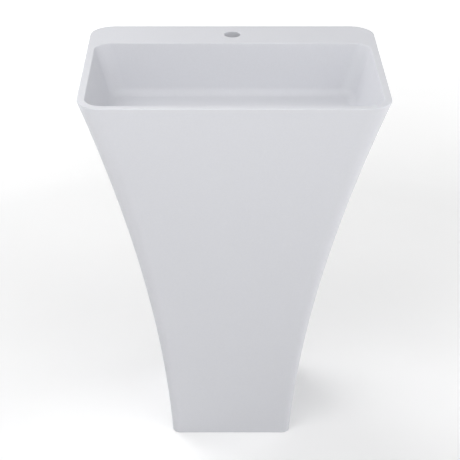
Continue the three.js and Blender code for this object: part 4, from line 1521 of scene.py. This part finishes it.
def add_world():
    """A pale room: bright level with the sink, dim overhead where the soft boxes hang."""
    world = bpy.data.worlds.new("studio")
    world.use_nodes = True
    nodes, links = world.node_tree.nodes, world.node_tree.links

    def calculated(operation, first, second=None):
        node = nodes.new("ShaderNodeMath")
        node.operation = operation
        links.new(first, node.inputs[0])
        if isinstance(second, float):
            node.inputs[1].default_value = second
        elif second:
            links.new(second, node.inputs[1])
        return node.outputs[0]

    split = nodes.new("ShaderNodeSeparateXYZ")
    links.new(nodes.new("ShaderNodeTexCoord").outputs["Generated"], split.inputs[0])
    rise = calculated("DIVIDE", split.outputs["Z"], HORIZON_SPREAD)
    squared = calculated("MULTIPLY", rise, rise)
    falling = calculated("EXPONENT", calculated("MULTIPLY", squared, -1.0))
    background = next(n for n in nodes if n.type == "BACKGROUND")
    background.inputs["Color"].default_value = (1, 1, 1, 1)
    above_overhead = calculated("MULTIPLY", falling, HORIZON_LIGHT - OVERHEAD_LIGHT)
    level = calculated("ADD", above_overhead, OVERHEAD_LIGHT)
    links.new(level, background.inputs["Strength"])
    bpy.context.scene.world = world


def area_light(name, place, aim, size, watts):
    """A square area light that faces a point."""
    data = bpy.data.lights.new(name, "AREA")
    data.shape = "SQUARE"
    data.size = size * MM
    data.energy = watts
    light = bpy.data.objects.new(name, data)
    bpy.context.scene.collection.objects.link(light)
    light.location = Vector(place) * MM
    light.rotation_mode = "QUATERNION"
    light.rotation_quaternion = (Vector(place) - Vector(aim)).to_track_quat("Z", "Y")
    return data


def add_soft_box(name, around, up, watts):
    """A large light that faces the sink from a direction."""
    around, up = math.radians(around), math.radians(up)
    away = Vector((math.sin(around) * math.cos(up), -math.cos(around) * math.cos(up), math.sin(up)))
    area_light(name, Vector(LIGHT_AIM) + away * LIGHT_DISTANCE, LIGHT_AIM, LIGHT_SIZE, watts)


def add_beam():
    beam = area_light("beam", BEAM_PLACE, BEAM_AIM, BEAM_SIZE, BEAM_WATTS)
    beam.spread = math.radians(BEAM_SPREAD)


CAMERA_PLACE = (-40.5, -2691.9, 1911.3)
CAMERA_DOWN = 28.10  # degrees below the horizon
CAMERA_LENS = 112.14
CAMERA_SENSOR = 36
CAMERA_SIGHT = 100  # metres
CAMERA_SHIFT = 0.0369  # the sink stands to the right of the lens's axis


def add_camera():
    data = bpy.data.cameras.new("camera")
    data.lens = CAMERA_LENS
    data.sensor_width = CAMERA_SENSOR
    data.shift_x = CAMERA_SHIFT
    data.clip_end = CAMERA_SIGHT
    camera = bpy.data.objects.new("camera", data)
    camera.location = Vector(CAMERA_PLACE) * MM
    camera.rotation_euler = (math.radians(90 - CAMERA_DOWN), 0, 0)
    bpy.context.scene.collection.objects.link(camera)
    bpy.context.scene.camera = camera


add_floor()
add_world()
for name, (around, up, watts) in LIGHTS.items():
    add_soft_box(name, around, up, watts)
add_beam()
add_camera()
bpy.context.scene.view_settings.view_transform = "Standard"
